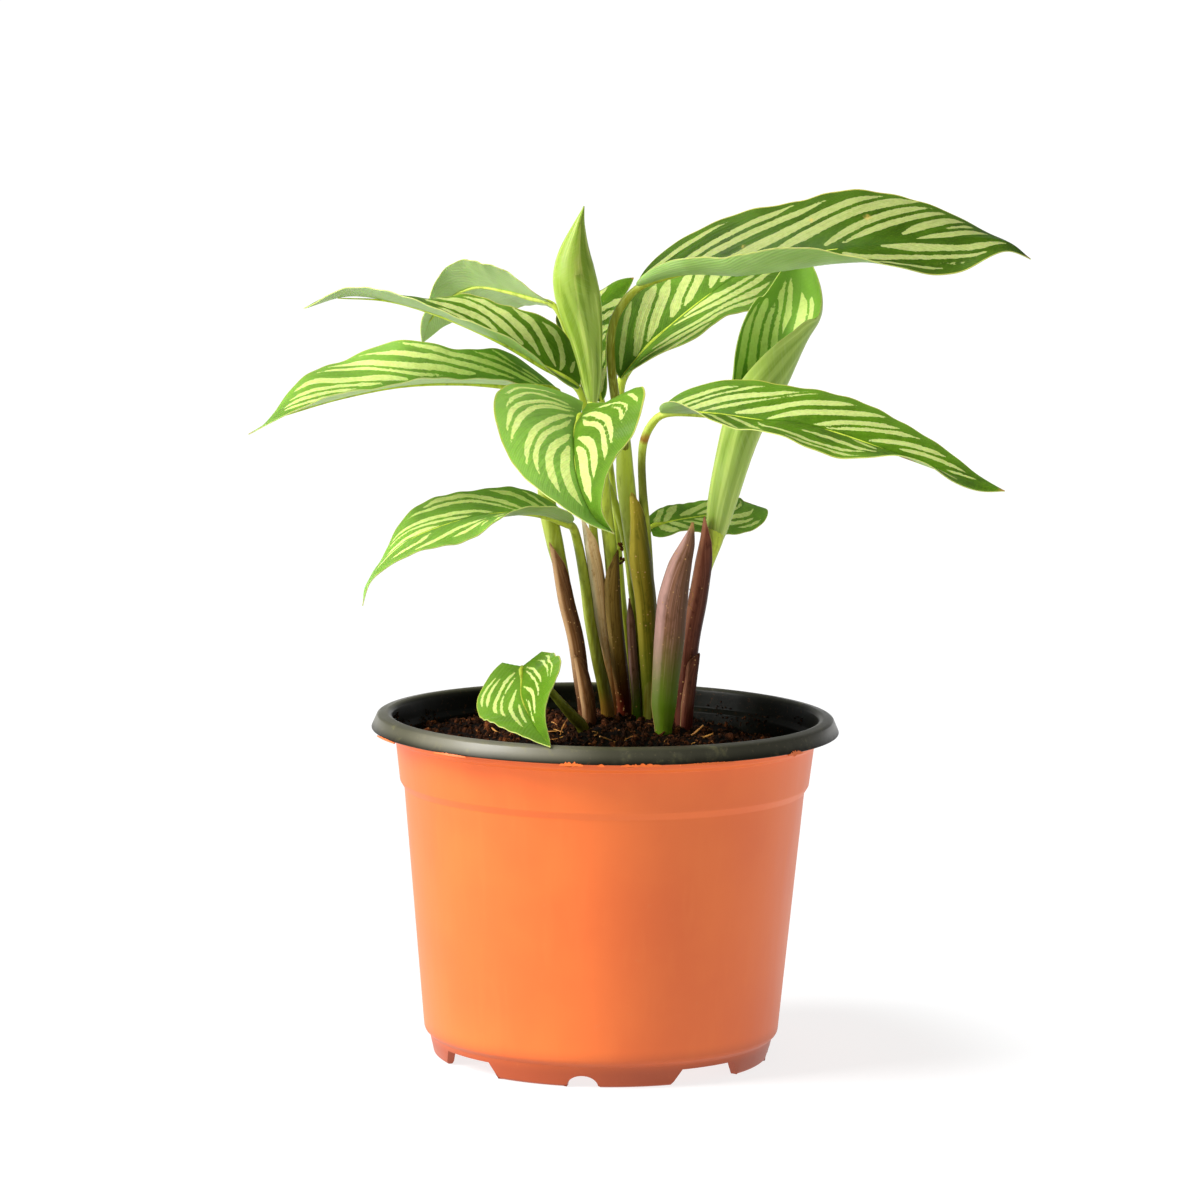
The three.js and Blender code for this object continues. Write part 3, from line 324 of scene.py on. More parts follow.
        (0.8, (0.62, 0.15), (0.7, 0.4), (0.8, 0.44)), (0.8, (0.3, 0.08), (0.36, 0.3), (0.46, 0.72)),
    ], [
        (0.9, (0.05, 0.15), (0.1, 0.5), (0.17, 0.9)),
        (1.3, (0.12, 0.15), (0.16, 0.36), (0.22, 0.63), (0.3, 0.9)),
        (1.4, (0.22, 0.07), (0.29, 0.4), (0.37, 0.74), (0.47, 0.85), (0.56, 0.82)),
        (0.9, (0.25, 0.05), (0.32, 0.35), (0.41, 0.57), (0.54, 0.68), (0.62, 0.85)),
        (1.2, (0.35, 0.05), (0.45, 0.2), (0.56, 0.35), (0.65, 0.57), (0.72, 0.85)),
        (0.9, (0.4, 0.03), (0.51, 0.13), (0.61, 0.3), (0.7, 0.63), (0.75, 0.8)),
        (1.3, (0.57, 0.03), (0.65, 0.13), (0.72, 0.24), (0.79, 0.46)),
        (0.9, (0.69, 0.03), (0.79, 0.1), (0.86, 0.3)),
    ]),
    "young": 0.1,
}, {
    "node": "frond_low_right",
    "stem": [[18.5, 38, STEM_FOOT_Z, 1.3], [18, 38, 119, 1.3], [16.5, 37, 139.5, 1.3],
             [15, 36, 157.5, 1.3], [13.5, 34, 172, 1.3]],
    "midrib": [[15, 34, 184], [24, 38, 186], [35, 42, 187.5], [44, 45, 188.5], [48, 49, 190],
               [49, 55, 191.5]],
    "face": [[0, -0.8, 0.6]],
    "half": [8, 8.5], "widest": 0.5, "taper": 0.22, "start": 0.4,
    "fold": [[10, 0, -15, -10, 10, 40], [-15, 25, 15, 10, -5, -10]],
    "curl": [[0], [0]],
    "swell": [[1, 1, 0.85, 0.5], [1, 1, 1.15, 1.5]],
    "wave": [0.4, 2, 0.2], "tone": (1.3, 1),
    "bars": ([
        (0.05, 0.18), (0.13, 0.3), (1.3, (0.3, 0.25), (0.5, 0.6), (0.6, 0.8)),
        (1.4, (0.45, 0.2), (0.65, 0.5), (0.9, 0.6)), (1, (0.62, 0.1), (0.8, 0.25), (0.94, 0.4)),
    ], [
        (0.08, 0.2), (0.18, 0.32), (0.9, (0.3, 0.2), (0.5, 0.55), (0.65, 0.75)),
        (1, (0.4, 0.12), (0.6, 0.4), (0.84, 0.62)), (1, (0.5, 0.08), (0.7, 0.2), (0.9, 0.42)),
        (0.6, (0.7, 0.7), (0.86, 0.85)),
    ]),
}, {
    "node": "frond_small_front",
    "stem": [[-5, 1, STEM_FOOT_Z, 2.2], [-6.5, -2, 110, 2.2], [-8, -4, 117, 2.2], [-11.5, -11, 122, 2],
             [-15.5, -18, 127.5, 1.6], [-20, -24, 133.5, 1.3], [-24.5, -28, 138.5, 1.1]],
    "midrib": [[-29, -30, 142], [-29, -37, 138], [-29, -44, 134], [-27, -52, 130], [-24, -64, 126],
               [-18.5, -79, 121.5]],
    "face": [[0, -0.3, 0.95], [0, -0.45, 0.9]],
    "half": [17, 16], "widest": 0.35, "taper": 0.95, "lobe": 3.5, "start": 0.45,
    "fold": [[35, 55, 55, 55, 50, 40], [-5, -10, -5, 5, 10, 10]],
    "curl": [[-10, -10, -10, 0, 0], [-10, -10, -10, 0, 0]],
    "swell": [[1, 1.08, 1.15, 1.2, 1.12, 0.9, 0.66, 0.5, 0.42, 0.38, 0.36], [1, 1, 0.95, 0.9]],
    "wave": [0.3, 3, 0.3], "tone": (1, 1.1, 1.2),
    "bars": ([
        (0.6, (0.06, 0.85), (0.14, 0.83), (0.27, 0.81), (0.41, 0.745)),
        (0.6, (0.06, 0.6), (0.14, 0.68), (0.26, 0.72), (0.39, 0.68)),
        (0.7, (0.047, 0.19), (0.118, 0.34), (0.22, 0.455), (0.34, 0.49), (0.4, 0.48)),
        (0.6, (0.076, 0.15), (0.176, 0.3), (0.28, 0.38), (0.39, 0.41), (0.49, 0.41)),
        (0.7, (0.24, 0.085), (0.318, 0.2), (0.4, 0.26), (0.52, 0.255), (0.62, 0.255)),
        (0.5, (0.38, 0.09), (0.47, 0.12), (0.565, 0.12), (0.67, 0.12)),
    ], [
        (0.7, (0.24, 0.11), (0.33, 0.21), (0.4, 0.32), (0.506, 0.36), (0.7, 0.4)),
        (0.5, (0.38, 0.11), (0.47, 0.15), (0.565, 0.17), (0.67, 0.18)),
        (0.8, (0.07, 0.24), (0.13, 0.4), (0.26, 0.49), (0.353, 0.62), (0.46, 0.67)),
        (0.6, (0.118, 0.2), (0.22, 0.34), (0.33, 0.46), (0.435, 0.54), (0.547, 0.56)),
        (0.6, (0.118, 0.62), (0.176, 0.69), (0.26, 0.735), (0.34, 0.78)),
        (0.5, (0.106, 0.76), (0.165, 0.84), (0.235, 0.88), (0.33, 0.88)),
    ]),
    "young": 0.35,
}, {
    "node": "frond_behind_spear",
    "stem": [[10.5, 48, STEM_FOOT_Z, 1.5], [10, 48, 117.5, 1.5], [8, 47, 138, 1.5], [5.5, 46, 156, 1.5],
             [3.5, 44, 178, 1.4], [1.5, 41, 196.5, 1.4], [-1, 37, 215, 1.3]],
    "midrib": [[-3, 34, 229], [-6, 38, 240], [-8, 42, 252], [-4, 46, 262], [8, 52, 272]],
    "face": [[-0.2, -0.95, 0.3]],
    "half": [12.5, 7.5], "widest": 0.5, "taper": 0.9,
    "fold": [[30, 65, 60, -10, -45, -20], [25, 30, 15, 10, 20, 20]],
    "curl": [[0], [0]],
    "swell": [[1], [1]],
    "wave": [0.4, 2, 0.1], "tone": (1, 1),
    "bars": ([
        (0.05, 0.25), (0.14, 0.36), (0.30, 0.52), (0.38, 0.60), (0.54, 0.76), (0.63, 0.84),
    ], [
        (0.05, 0.22), (0.14, 0.32), (0.30, 0.48), (0.38, 0.57), (0.54, 0.72), (0.63, 0.82),
    ]),
}]

# Papery sheaths round the petioles and two young shoots that are still closed: rows of x, y, z and radius
# from foot to tip, the side in degrees from +X towards +Y on which the sheet is open, and its look.
SHEATHS = {
    "sheath_left": ([
        [-7, 14, 104, 2.4], [-7.5, 14, 122.5, 2.6], [-8.8, 13.5, 131.5, 2.8], [-11, 12.5, 146, 2.9],
        [-14.5, 11, 160, 2.9], [-17, 8.5, 174, 2.7], [-19.5, 9, 181.5, 0.4],
    ], 20, "brown"),
    "sheath_left_small": ([
        [-5.5, 11, 106, 2.5], [-6, 11, 121, 2.6], [-6.8, 10, 126.5, 2.7], [-8.5, 9, 135, 2.3],
        [-10.5, 8, 141.5, 0.4],
    ], 60, "brown"),
    "sheath_dry": ([
        [2.5, 32, 104, 2.6], [2, 31, 120, 2.6], [0.3, 27, 137, 2.7], [-1.6, 23, 151.5, 2.8],
        [-3.4, 18, 165, 2.8], [-5.6, 12, 180, 2.7], [-8, 9, 191, 0.5],
    ], 20, "dry"),
    "sheath_spear": ([
        [6.5, 30, 104, 3], [6.5, 30, 120, 3], [5.5, 27, 129.5, 3.1], [3.5, 22, 144.5, 3.2],
        [2, 18, 159.5, 3.2], [1.5, 14, 172.5, 2.8], [2.5, 12, 178.5, 0.5],
    ], 160, "grey"),
    "sheath_right_middle": ([
        [17, 16.5, 104, 3.5], [16.5, 16.5, 122.5, 3.5], [15, 15, 142, 3.6], [13.5, 12.5, 160.5, 3.9],
        [11.5, 10, 175, 4.1], [10.5, 7, 189.5, 2.8], [11, 4, 200, 0.5],
    ], 50, "olive"),
    "sheath_right": ([
        [27.5, 14, 104, 3.3], [28, 14, 123, 3.3], [28.5, 14, 132, 3.4], [29.5, 14, 146, 3.5],
        [32, 13, 160.5, 3.4], [34, 11, 174.5, 3.1], [35, 9, 182.5, 2.6], [34.5, 8, 191, 0.4],
    ], 20, "plum"),
    "sheath_right_small": ([
        [28, 8, 108, 1.8], [28.5, 8, 118.5, 1.9], [29, 8, 123.5, 2.4], [30, 8, 132.5, 2.4],
        [32, 8, 142.5, 0.3],
    ], 150, "plum"),
    "bud_middle": ([
        [11.5, 25, 104, 1.5], [11, 25, 121, 1.6], [9.5, 22, 137.5, 1.7], [8.5, 20, 152, 1.6],
        [8, 20, 160, 0.3],
    ], 60, "pink"),
    "bud_front": ([
        [20.5, -3, 106, 2.6], [20.5, -3, 117, 3.2], [20.5, -2, 125, 4.6], [21, -1, 134, 4.9],
        [22, 0, 148, 5.6], [23, 0, 162, 5.6], [25.5, 0, 174.5, 4.3], [28, -1, 182.5, 2.7],
        [29.5, -2, 190, 0.7],
    ], 150, "pink"),
}
# Hairs that cling to a stalk and straws on the soil: places with radii.
STRAWS = [
    [[27.6, 7, 166, 0.1], [29.6, 4.5, 165, 0.12], [30.6, 4.5, 162.5, 0.1], [28.6, 5, 160, 0.1]],
    [[27.2, 7, 161, 0.1], [28.6, 4.5, 160.5, 0.12], [30.2, 4.5, 158, 0.1]],
    [[27.8, 7, 164, 0.1], [28.4, 4.6, 161, 0.12], [27.6, 5, 157.5, 0.1]],
    [[28, -6, 113.5, 0.3], [31, -7, 115.5, 0.5], [34.5, -8, 119, 0.25]],
    [[30, -10, 113, 0.4], [34, -9, 114.5, 0.55], [38, -8, 116, 0.3]],
    [[26, -8, 113.5, 0.25], [28.5, -9, 113.5, 0.4], [32, -12, 113, 0.2]],
    [[-16, -4, 113, 0.2], [-15, -6, 117, 0.25], [-13, -7, 121, 0.12]],
    [[-36, -40, 113, 0.25], [-32, -41, 114.5, 0.35], [-28, -44, 114, 0.2]],
    [[-2, -44, 112.5, 0.2], [-4, -45, 114.5, 0.3], [-8, -44, 115.5, 0.15]],
    [[44, -24, 112, 0.25], [47, -21, 113, 0.3], [49, -17, 112.5, 0.2]],
]
# Middles of the crumbs that cling to the stalks, and half the height of each patch.
CLINGING = [(4.8, 16.4, 179, 1.6), (5, 16.2, 174, 1.2)]
SLOTS = {"furled_right": "spear", "furled_spear": "spear", "sheath_dry": "dry_sheath",
         "bud_front": "pink_sheath"}

# Radius and height of the pot's orange layer, from the floor's middle to the edge under the rim and back.
OUTER_PROFILE = [
    [0, 6.6], [57.6, 6.6], [56.7, 0.5], [57.1, 0], [58.6, 0], [59.3, 0.6], [60.9, 7.4], [62.4, 8.8],
    [62.8, 9.8], [70.65, 95.2], [72.2, 97.7], [73.9, 112], [76, 113.3], [76.9, 119.3], [78.8, 119.3],
    [80.8, 115.5], [81.4, 115.8], [79.3, 119.9], [76.8, 120.4], [76.1, 119.6], [75.2, 113.7],
    [73.05, 112.3], [71.4, 98.2], [69.9, 95.5], [62, 9.6], [60.6, 8.1], [0, 8.1],
]
# The black layer: the same wall seen from inside, rolled outward and down at the rim.
LINING_PROFILE = [
    [0, 8.4], [60.4, 8.4], [61.7, 9.8], [69.6, 95.6], [71.2, 98.3], [72.8, 112.4], [75, 113.9],
    [75.9, 119.8], [76.6, 120.7], [79.5, 120.2], [81.75, 115.9], [82.5, 116.2], [80.5, 120.8],
    [79.7, 121.2], [77, 121.6], [76, 121.3], [75.2, 120.4], [74.2, 114.6], [72.1, 113], [70.5, 98.6],
    [68.8, 95.8], [61, 10.4], [60.1, 9.1], [0, 9.1],
]
FOOT_COUNT = 4
FOOT_TURN_DEG = -6
FOOT_GAP_LOW_DEG = 14.5
FOOT_GAP_HIGH_DEG = 11
FOOT_GAP_HEIGHT = 5.5
FOOT_RADIUS = 58.6
NOTCH_HALF_WIDTH = 5.4
NOTCH_HEIGHT = 4.1
# Heights and radii of the two faces of the ring of feet, and the radius between them.
FOOT_INNER_FACE = ([0.5, 6.6], [56.7, 57.6])
FOOT_OUTER_FACE = ([0.6, 7.4], [59.3, 60.9])
FOOT_MIDDLE_RADIUS = 57.85

# Stretches of the edge where torn orange plastic hangs below the rim: degrees from the front, half the
# width in degrees, and the drop.
TORN_EDGES = [
    (-7.9, 2.8, 1.2), (-1, 0.8, 0.6), (8.6, 4.8, 0.8), (52.6, 2.8, 1.3), (-68, 6, 0.35), (-40, 5, 0.4),
    (25, 7, 0.4), (150, 10, 0.8), (-140, 14, 0.7),
]
TORN_FOOT = 115.5
TORN_TOP = 116.1
TORN_SLOPE = 0.43
# Radii of the corners of a torn strip: the foot's inside and outside, the top's outside and inside.
TORN_RADII = (82.3, 82.75, 82.68, 82.2)
# The edge under the rim lies outside this radius and below this height.
EDGE_RADIUS = 80.4
EDGE_TOP_Z = 116.6
LINING_FACE_Z = (113, 114.6, 120.4)
LINING_FACE_RADIUS = (72.1, 74.2, 75.2)

# The side, from +X towards +Y, on which stalks and sheaths get a painted highlight, with painted shade on
# the far side.
LIT_SIDE_DEG = 215
BASE_CROWDING = 0.35
LEAST_WIDTH = 0.12
LEAST_BEND = 1e-3
SIDE_VEIN_LEAN = 0.42
ROLLED_VEIN_LEAN = 0.3
QUILT_FOLDS = 24
MARGIN_RIPPLES = 11
MARGIN_RIPPLE_HEIGHT = 0.22
MARGIN_RIPPLE_PHASE = 0.37
GROOVE_DEPTH = 0.1
GROOVE_SHARPNESS = 18
LOBE_SHARE = 0.3
BAR_HALF_WIDTH = 1.4
BAR_BEND = 0.06
BAR_SPLIT = 1.1
BAR_METRIC = 5
BAR_STEPS = 90
BAR_DEEPEST = 3.0
# The midrib's ridge under a blade: shares of the length, and radii. The first two radii are shares of the
# petiole's own radius.
RIDGE_PLACES = [0, 0.15, 0.3, 0.5, 0.7, 0.88]
RIDGE_RADII = [0.9, 0.7, 0.62, 0.5, 0.38, 0.2]
RIDGE_STEPS = 200
# How far round a rolled sheet reaches: shares of its length, and degrees, for closed shoots and sheaths.
CLOSED_SPAN = ([0, 0.45, 0.75, 0.93, 1], [390, 380, 340, 260, 160])
OPEN_SPAN = ([0, 0.76, 0.9, 0.97, 1], [390, 350, 230, 110, 6])
OVERLAP = 1.3
# Where a petiole is warm brown, or with a minus sign dull: height, reach and strength.
WARM_PLACES = {"frond_low_left": [(118, 9, 1)], "frond_mid_right": [(219, 2.5, 1), (204, 14, -0.85)]}

SOIL_RINGS = 64
SOIL_SPOKES = 180
SOIL_RADIUS = 71.2
SOIL_FOOT_RADIUS = 66
SOIL_FOOT_Z = 92
SOIL_EDGE_Z = 111
# Middle x and y, rise and spread of the mound and of the hollow.
SOIL_MOUND = (10, 12, 6.5, 27)
SOIL_HOLLOW = (46, 34, -5, 20)
# Height, lumps on each millimetre and seed of the soil's unevenness.
SOIL_LUMPS = [(1.1, 0.16, 3.1), (0.7, 0.45, 7.7), (0.35, 1.1, 1.9)]
# Heights of the rows of faces on the pot's inner wall that crumbs may stick to, and faces round it.
WALL_LEVELS = [110, 111.5, 113, 114.6, 116, 117.5, 119]
WALL_STEPS = 180
# Fibres lie within this many rings of the soil's middle.
FIBRE_RINGS = 54
SCATTER_SIZES = {"Density": "Float", "Size": "Float", "Seed": "Int"}
# Scattered bits: count on each square metre, size of a middling one in metres, what is added to the seed.
CHUNKS = (12000.0, 0.0019, 9)
WALL_CRUMBS = (420000.0, 0.00042, 2)
STALK_CRUMBS = (2600000.0, 0.0006, 3)
FIBRES = (7000.0, 0.0045, 5)

FLOOR_Z = -0.0002
FLOOR_STEPS = 64
BACKDROP_HEIGHT = 6.5
# Distances from the pot, in metres, between which the shadow on the floor is painted out: the floor loses
# its grey and glows white.
SHADOW_FADE = (0.1, 0.17)
FLOOR_GREY = 0.25
FLOOR_GREY_PALE = 0.26
FLOOR_GREY_FAR = 0.02
FLOOR_GLOW = 1.0
BACKDROP_GLOW = 1.3
# Spread in degrees and heading of each light.
LIGHTS = {"key": (28, (0.72, 0.26, -0.643)), "side": (24, (0.93, 0.33, -0.15))}
CAMERA_PLACE = (POT_AXIS_X - 0.00247, -1.8069, 0.3907)
CAMERA_PITCH_DEG = 7.22
CAMERA_ROLL_DEG = 0.81
CAMERA_LENS = 155.3
CAMERA_SENSOR = 36
CAMERA_CLIP = (0.05, 200)

# Sheath colours as display values of 0 to 255: the body, its pale tone, its dark tone and its foot.
# The pale tone is also a painted highlight on the side towards the light, and the dark tone painted shade
# on the far side.
SHEATH_LOOKS = {
    "brown": ((126, 82, 42), (222, 178, 128), (70, 34, 10), (74, 36, 14)),
    "plum": ((122, 68, 48), (184, 122, 92), (62, 24, 12), (78, 24, 12)),
    "grey": ((142, 112, 46), (198, 164, 96), (84, 62, 6), (78, 12, 4)),
    "olive": ((138, 122, 26), (190, 172, 64), (82, 84, 2), (70, 88, 2)),
    "pink": ((140, 96, 70), (222, 174, 166), (88, 56, 28), (88, 122, 2)),
    "dry": ((250, 214, 150), (255, 244, 205), (206, 158, 98), (190, 134, 70)),
}

# The other colours of the finishes, as display values of 0 to 255.
TINTS = {
    "leaf_margin": (104, 140, 42), "bar_fringe": (104, 144, 34), "young_dark": (104, 144, 32),
    "leaf_mottle": (116, 150, 44), "bar_dull": (170, 184, 104), "young_bar": (196, 208, 124),
    "leaf_pale": (142, 176, 104), "vein": (52, 90, 6), "midrib": (58, 96, 8), "leaf_rim": (200, 190, 90),
    "leaf_tip": (176, 128, 70), "leaf_speck": (190, 164, 84), "under_light": (150, 182, 104),
    "under_bar": (168, 194, 118), "under_pale": (212, 222, 176), "young_tip": (116, 142, 30),
    "young_streak": (104, 134, 16), "young_light": (206, 222, 120), "under_vein": (100, 134, 56),
    "under_grain": (180, 200, 130), "under_rim": (208, 204, 120), "under_midrib": (150, 176, 74),
    "stalk_streak": (190, 206, 92), "stalk_cloud": (98, 122, 14), "stalk_painted_highlight": (214, 230, 116),
    "stalk_shade": (88, 106, 4), "stalk_dull": (82, 84, 22), "stalk_warm": (172, 112, 44),
    "stalk_dusk": (92, 104, 10), "stalk_foot": (66, 58, 4), "stalk_speck": (110, 96, 50),
    "bud_tip": (204, 156, 96), "sheath_speck": (214, 166, 104), "sheath_edge": (206, 168, 112),
    "pot_cloud": (226, 102, 34), "pot_streak": (236, 122, 50), "pot_foot_painted_shade": (130, 44, 10),
    "pot_dust": (216, 136, 84), "lining_cloud": (16, 17, 10), "rim_body": (84, 82, 64),
    "rim_film": (104, 102, 84), "rim_sheen": (146, 142, 124), "rim_dust": (122, 118, 70),
    "lining_soil": (70, 42, 18), "rim_grit": (128, 118, 92), "fibre_dark": (150, 92, 34),
    "fibre_light": (214, 150, 66), "crumb": (84, 44, 18), "chunk": (120, 64, 30), "clod": (176, 104, 56),
    "soil_bits": (116, 64, 28), "crumb_bits": (206, 132, 72), "chunk_bits": (214, 140, 78),
    "clod_bits": (230, 160, 96),
}


def display(red, green, blue):
    """Linear colour from display values of 0 to 255."""
    values = []
    for value in (red, green, blue):
        share = value / 255
        values.append(share / 12.92 if share <= 0.04045 else ((share + 0.055) / 1.055) ** 2.4)
    return tuple(values)


def tint(name):
    """Linear colour of one of the tints."""
    return display(*TINTS[name])


def color_setting(name, description, shade):
    return FloatVectorProperty(name=name, description=description, default=display(*shade), size=3, min=0,
                               max=1, subtype="COLOR")


def length_setting(name, description, default, low, high):
    return FloatProperty(name=name, description=description, default=default, min=low, max=high,
                         precision=5, subtype="DISTANCE", unit="LENGTH")


def strength_setting(name, description, default):
    return FloatProperty(name=name, description=description, default=default, min=0, max=10)


class CalatheaLeafSettings(bpy.types.PropertyGroup):
    rows: IntProperty(name="Rows", description="Rows of faces along a blade", default=170, min=20, max=400)
    columns: IntProperty(name="Columns", description="Columns of faces across half a blade", default=28,
                         min=4, max=60)
    thickness: length_setting("Thickness", "Thickness of a blade", 0.00035, 0.0001, 0.002)
    vein_height: length_setting("Vein height", "Depth of the folds between side veins", 0.00016, 0, 0.001)
    dark: color_setting("Dark green", "Colour between the bars", (70, 106, 8))
    bar: color_setting("Bar", "Colour of the pale bars", (186, 198, 120))
    under: color_setting("Underside", "Colour of the underside", (132, 164, 84))
    young: color_setting("Young leaf", "Colour of a leaf that is still rolled", (156, 180, 72))


class CalatheaStalkSettings(bpy.types.PropertyGroup):
    sides: IntProperty(name="Sides", description="Faces round a stalk", default=14, min=5, max=32)
    spacing: length_setting("Spacing", "Length of a face along a stalk", 0.002, 0.0005, 0.01)
    green: color_setting("Green", "Colour of the stalks high up", (206, 224, 74))
    olive: color_setting("Olive", "Colour of the stalks low down", (110, 104, 2))


class CalatheaSheathSettings(bpy.types.PropertyGroup):
    thickness: length_setting("Thickness", "Thickness of a sheath", 0.0004, 0.0001, 0.002)
    rows: IntProperty(name="Rows", description="Rows of faces along a sheath", default=90, min=10, max=300)
    columns: IntProperty(name="Columns", description="Faces round a sheath", default=44, min=10, max=120)


class CalatheaPotSettings(bpy.types.PropertyGroup):
    segments: IntProperty(name="Segments", description="Faces round the pot", default=256, min=40, max=512)
    outer: color_setting("Outside", "Colour of the pot's outside", (232, 110, 38))
    lining: color_setting("Lining", "Colour of the pot's inside and rim", (10, 11, 6))


class CalatheaSoilSettings(bpy.types.PropertyGroup):
    crumbs: FloatProperty(name="Crumbs", description="Crumbs on each square metre of soil", default=160000,
                          min=0, max=600000)
    crumb_size: length_setting("Crumb size", "Radius of a middling crumb", 0.0011, 0.0002, 0.005)
    seed: IntProperty(name="Seed", description="Starting value of the random scatter", default=7, min=0)
    color: color_setting("Soil", "Colour of damp potting mix", (24, 12, 4))


class CalatheaStageSettings(bpy.types.PropertyGroup):
    floor_radius: FloatProperty(name="Floor radius", description="Radius of the pale floor", default=60,
                                min=1, max=200, subtype="DISTANCE", unit="LENGTH")
    key: strength_setting("Key light", "Strength of the soft light from the left", 4.2)
    side: strength_setting("Side light", "Strength of the low light from the left", 2.3)
    ambient: strength_setting("Ambient light", "Strength of the pale surroundings", 0.27)
    show_floor: BoolProperty(name="Floor", description="Adds the pale floor", default=True)


class Value:
    """A shader socket. Arithmetic on it adds Math nodes."""

    def __init__(self, finish, socket):
        self.finish = finish
        self.socket = socket

    def math(self, operation, *others):
        terms = dict(enumerate((self,) + others))
        return self.finish.node("ShaderNodeMath", {"operation": operation}, terms)

    def swapped(self, operation, other):
        return self.finish.node("ShaderNodeMath", {"operation": operation}, {0: other, 1: self})

    def __add__(self, other):
        return self.math("ADD", other)

    __radd__ = __add__

    def __sub__(self, other):
        return self.math("SUBTRACT", other)

    def __rsub__(self, other):
        return self.swapped("SUBTRACT", other)

    def __mul__(self, other):
        return self.math("MULTIPLY", other)

    __rmul__ = __mul__

    def __truediv__(self, other):
        return self.math("DIVIDE", other)

    def __rtruediv__(self, other):
        return self.swapped("DIVIDE", other)

    def __pow__(self, other):
        return self.math("POWER", other)

    def abs(self):
        return self.math("ABSOLUTE")

    def fract(self):
        return self.math("FRACT")

    def at_least(self, other):
        return self.math("MAXIMUM", other)

    def step(self, low, high):
        """0 below low, 1 above high and smooth between them."""
        limits = {"Value": self, "From Min": low, "From Max": high}
        return self.finish.node("ShaderNodeMapRange", {"interpolation_type": "SMOOTHSTEP"}, limits)


class Nodes:
    """A node tree under construction."""

    def node(self, kind, settings=None, values=None, output=0):
        """Adds a node. A value is a plain one or what another node gives."""
        made = self.tree.nodes.new(kind)
        for name, setting in (settings or {}).items():
            setattr(made, name, setting)
        for key, value in (values or {}).items():
            socket = made.inputs[key]
            if isinstance(value, (Value, bpy.types.NodeSocket)):
                self.tree.links.new(getattr(value, "socket", value), socket)
            elif socket.type == "RGBA" and len(value) == 3:
                socket.default_value = (*value, 1)
            else:
                socket.default_value = value
        return self.given(made.outputs[output])


class Finish(Nodes):
    """One material under construction."""

    def __init__(self, name):
        self.material = bpy.data.materials.new(name)
        self.material.use_nodes = True
        self.tree = self.material.node_tree
        self.tree.nodes.clear()

    def given(self, socket):
        return Value(self, socket)

    def attribute(self, name, output="Fac"):
        return self.node("ShaderNodeAttribute", {"attribute_name": name}, output=output)

    def place(self):
        return self.node("ShaderNodeTexCoord", output="Object")

    def split(self, vector):
        made = self.node("ShaderNodeSeparateXYZ", values={"Vector": vector}).socket.node
        return [Value(self, made.outputs[i]) for i in range(3)]

    def join(self, x, y, z):
        return self.node("ShaderNodeCombineXYZ", values={"X": x, "Y": y, "Z": z})

    def stretch(self, vector, scale):
        return self.node("ShaderNodeVectorMath", {"operation": "MULTIPLY"}, {0: vector, 1: scale})

    def noise(self, vector, scale, detail=2.0, roughness=0.5):
        values = {"Vector": vector, "Scale": scale, "Detail": detail, "Roughness": roughness}
        return self.node("ShaderNodeTexNoise", {"noise_dimensions": "3D"}, values)

    def specks(self, vector, scale):
        values = {"Vector": vector, "Scale": scale}
        return self.node("ShaderNodeTexVoronoi", {"feature": "F1"}, values, "Distance")

    def mix(self, factor, first, second):
        settings = {"data_type": "RGBA", "clamp_factor": True}
        return self.node("ShaderNodeMix", settings, {0: factor, 6: first, 7: second}, 2)

    def coats(self, color, *coats):
        """Lays tints over a colour. Each coat is how much of it shows and the name of its tint."""
        for factor, name in coats:
            color = self.mix(factor, color, tint(name))
        return color

    def scale(self, vector, factor):
        return self.node("ShaderNodeVectorMath", {"operation": "SCALE"}, {0: vector, "Scale": factor})

    def bump(self, height, distance, strength=1.0):
        values = {"Height": height, "Distance": distance, "Strength": strength}
        return self.node("ShaderNodeBump", values=values)

    def shade(self, **values):
        """Ends the material in one Principled shader. Underscores in the names stand for spaces."""
        named = {name.replace("_", " "): value for name, value in values.items()}
        shader = self.node("ShaderNodeBsdfPrincipled", values=named)
        output = self.tree.nodes.new("ShaderNodeOutputMaterial")
        self.tree.links.new(shader.socket, output.inputs["Surface"])
        return self.material


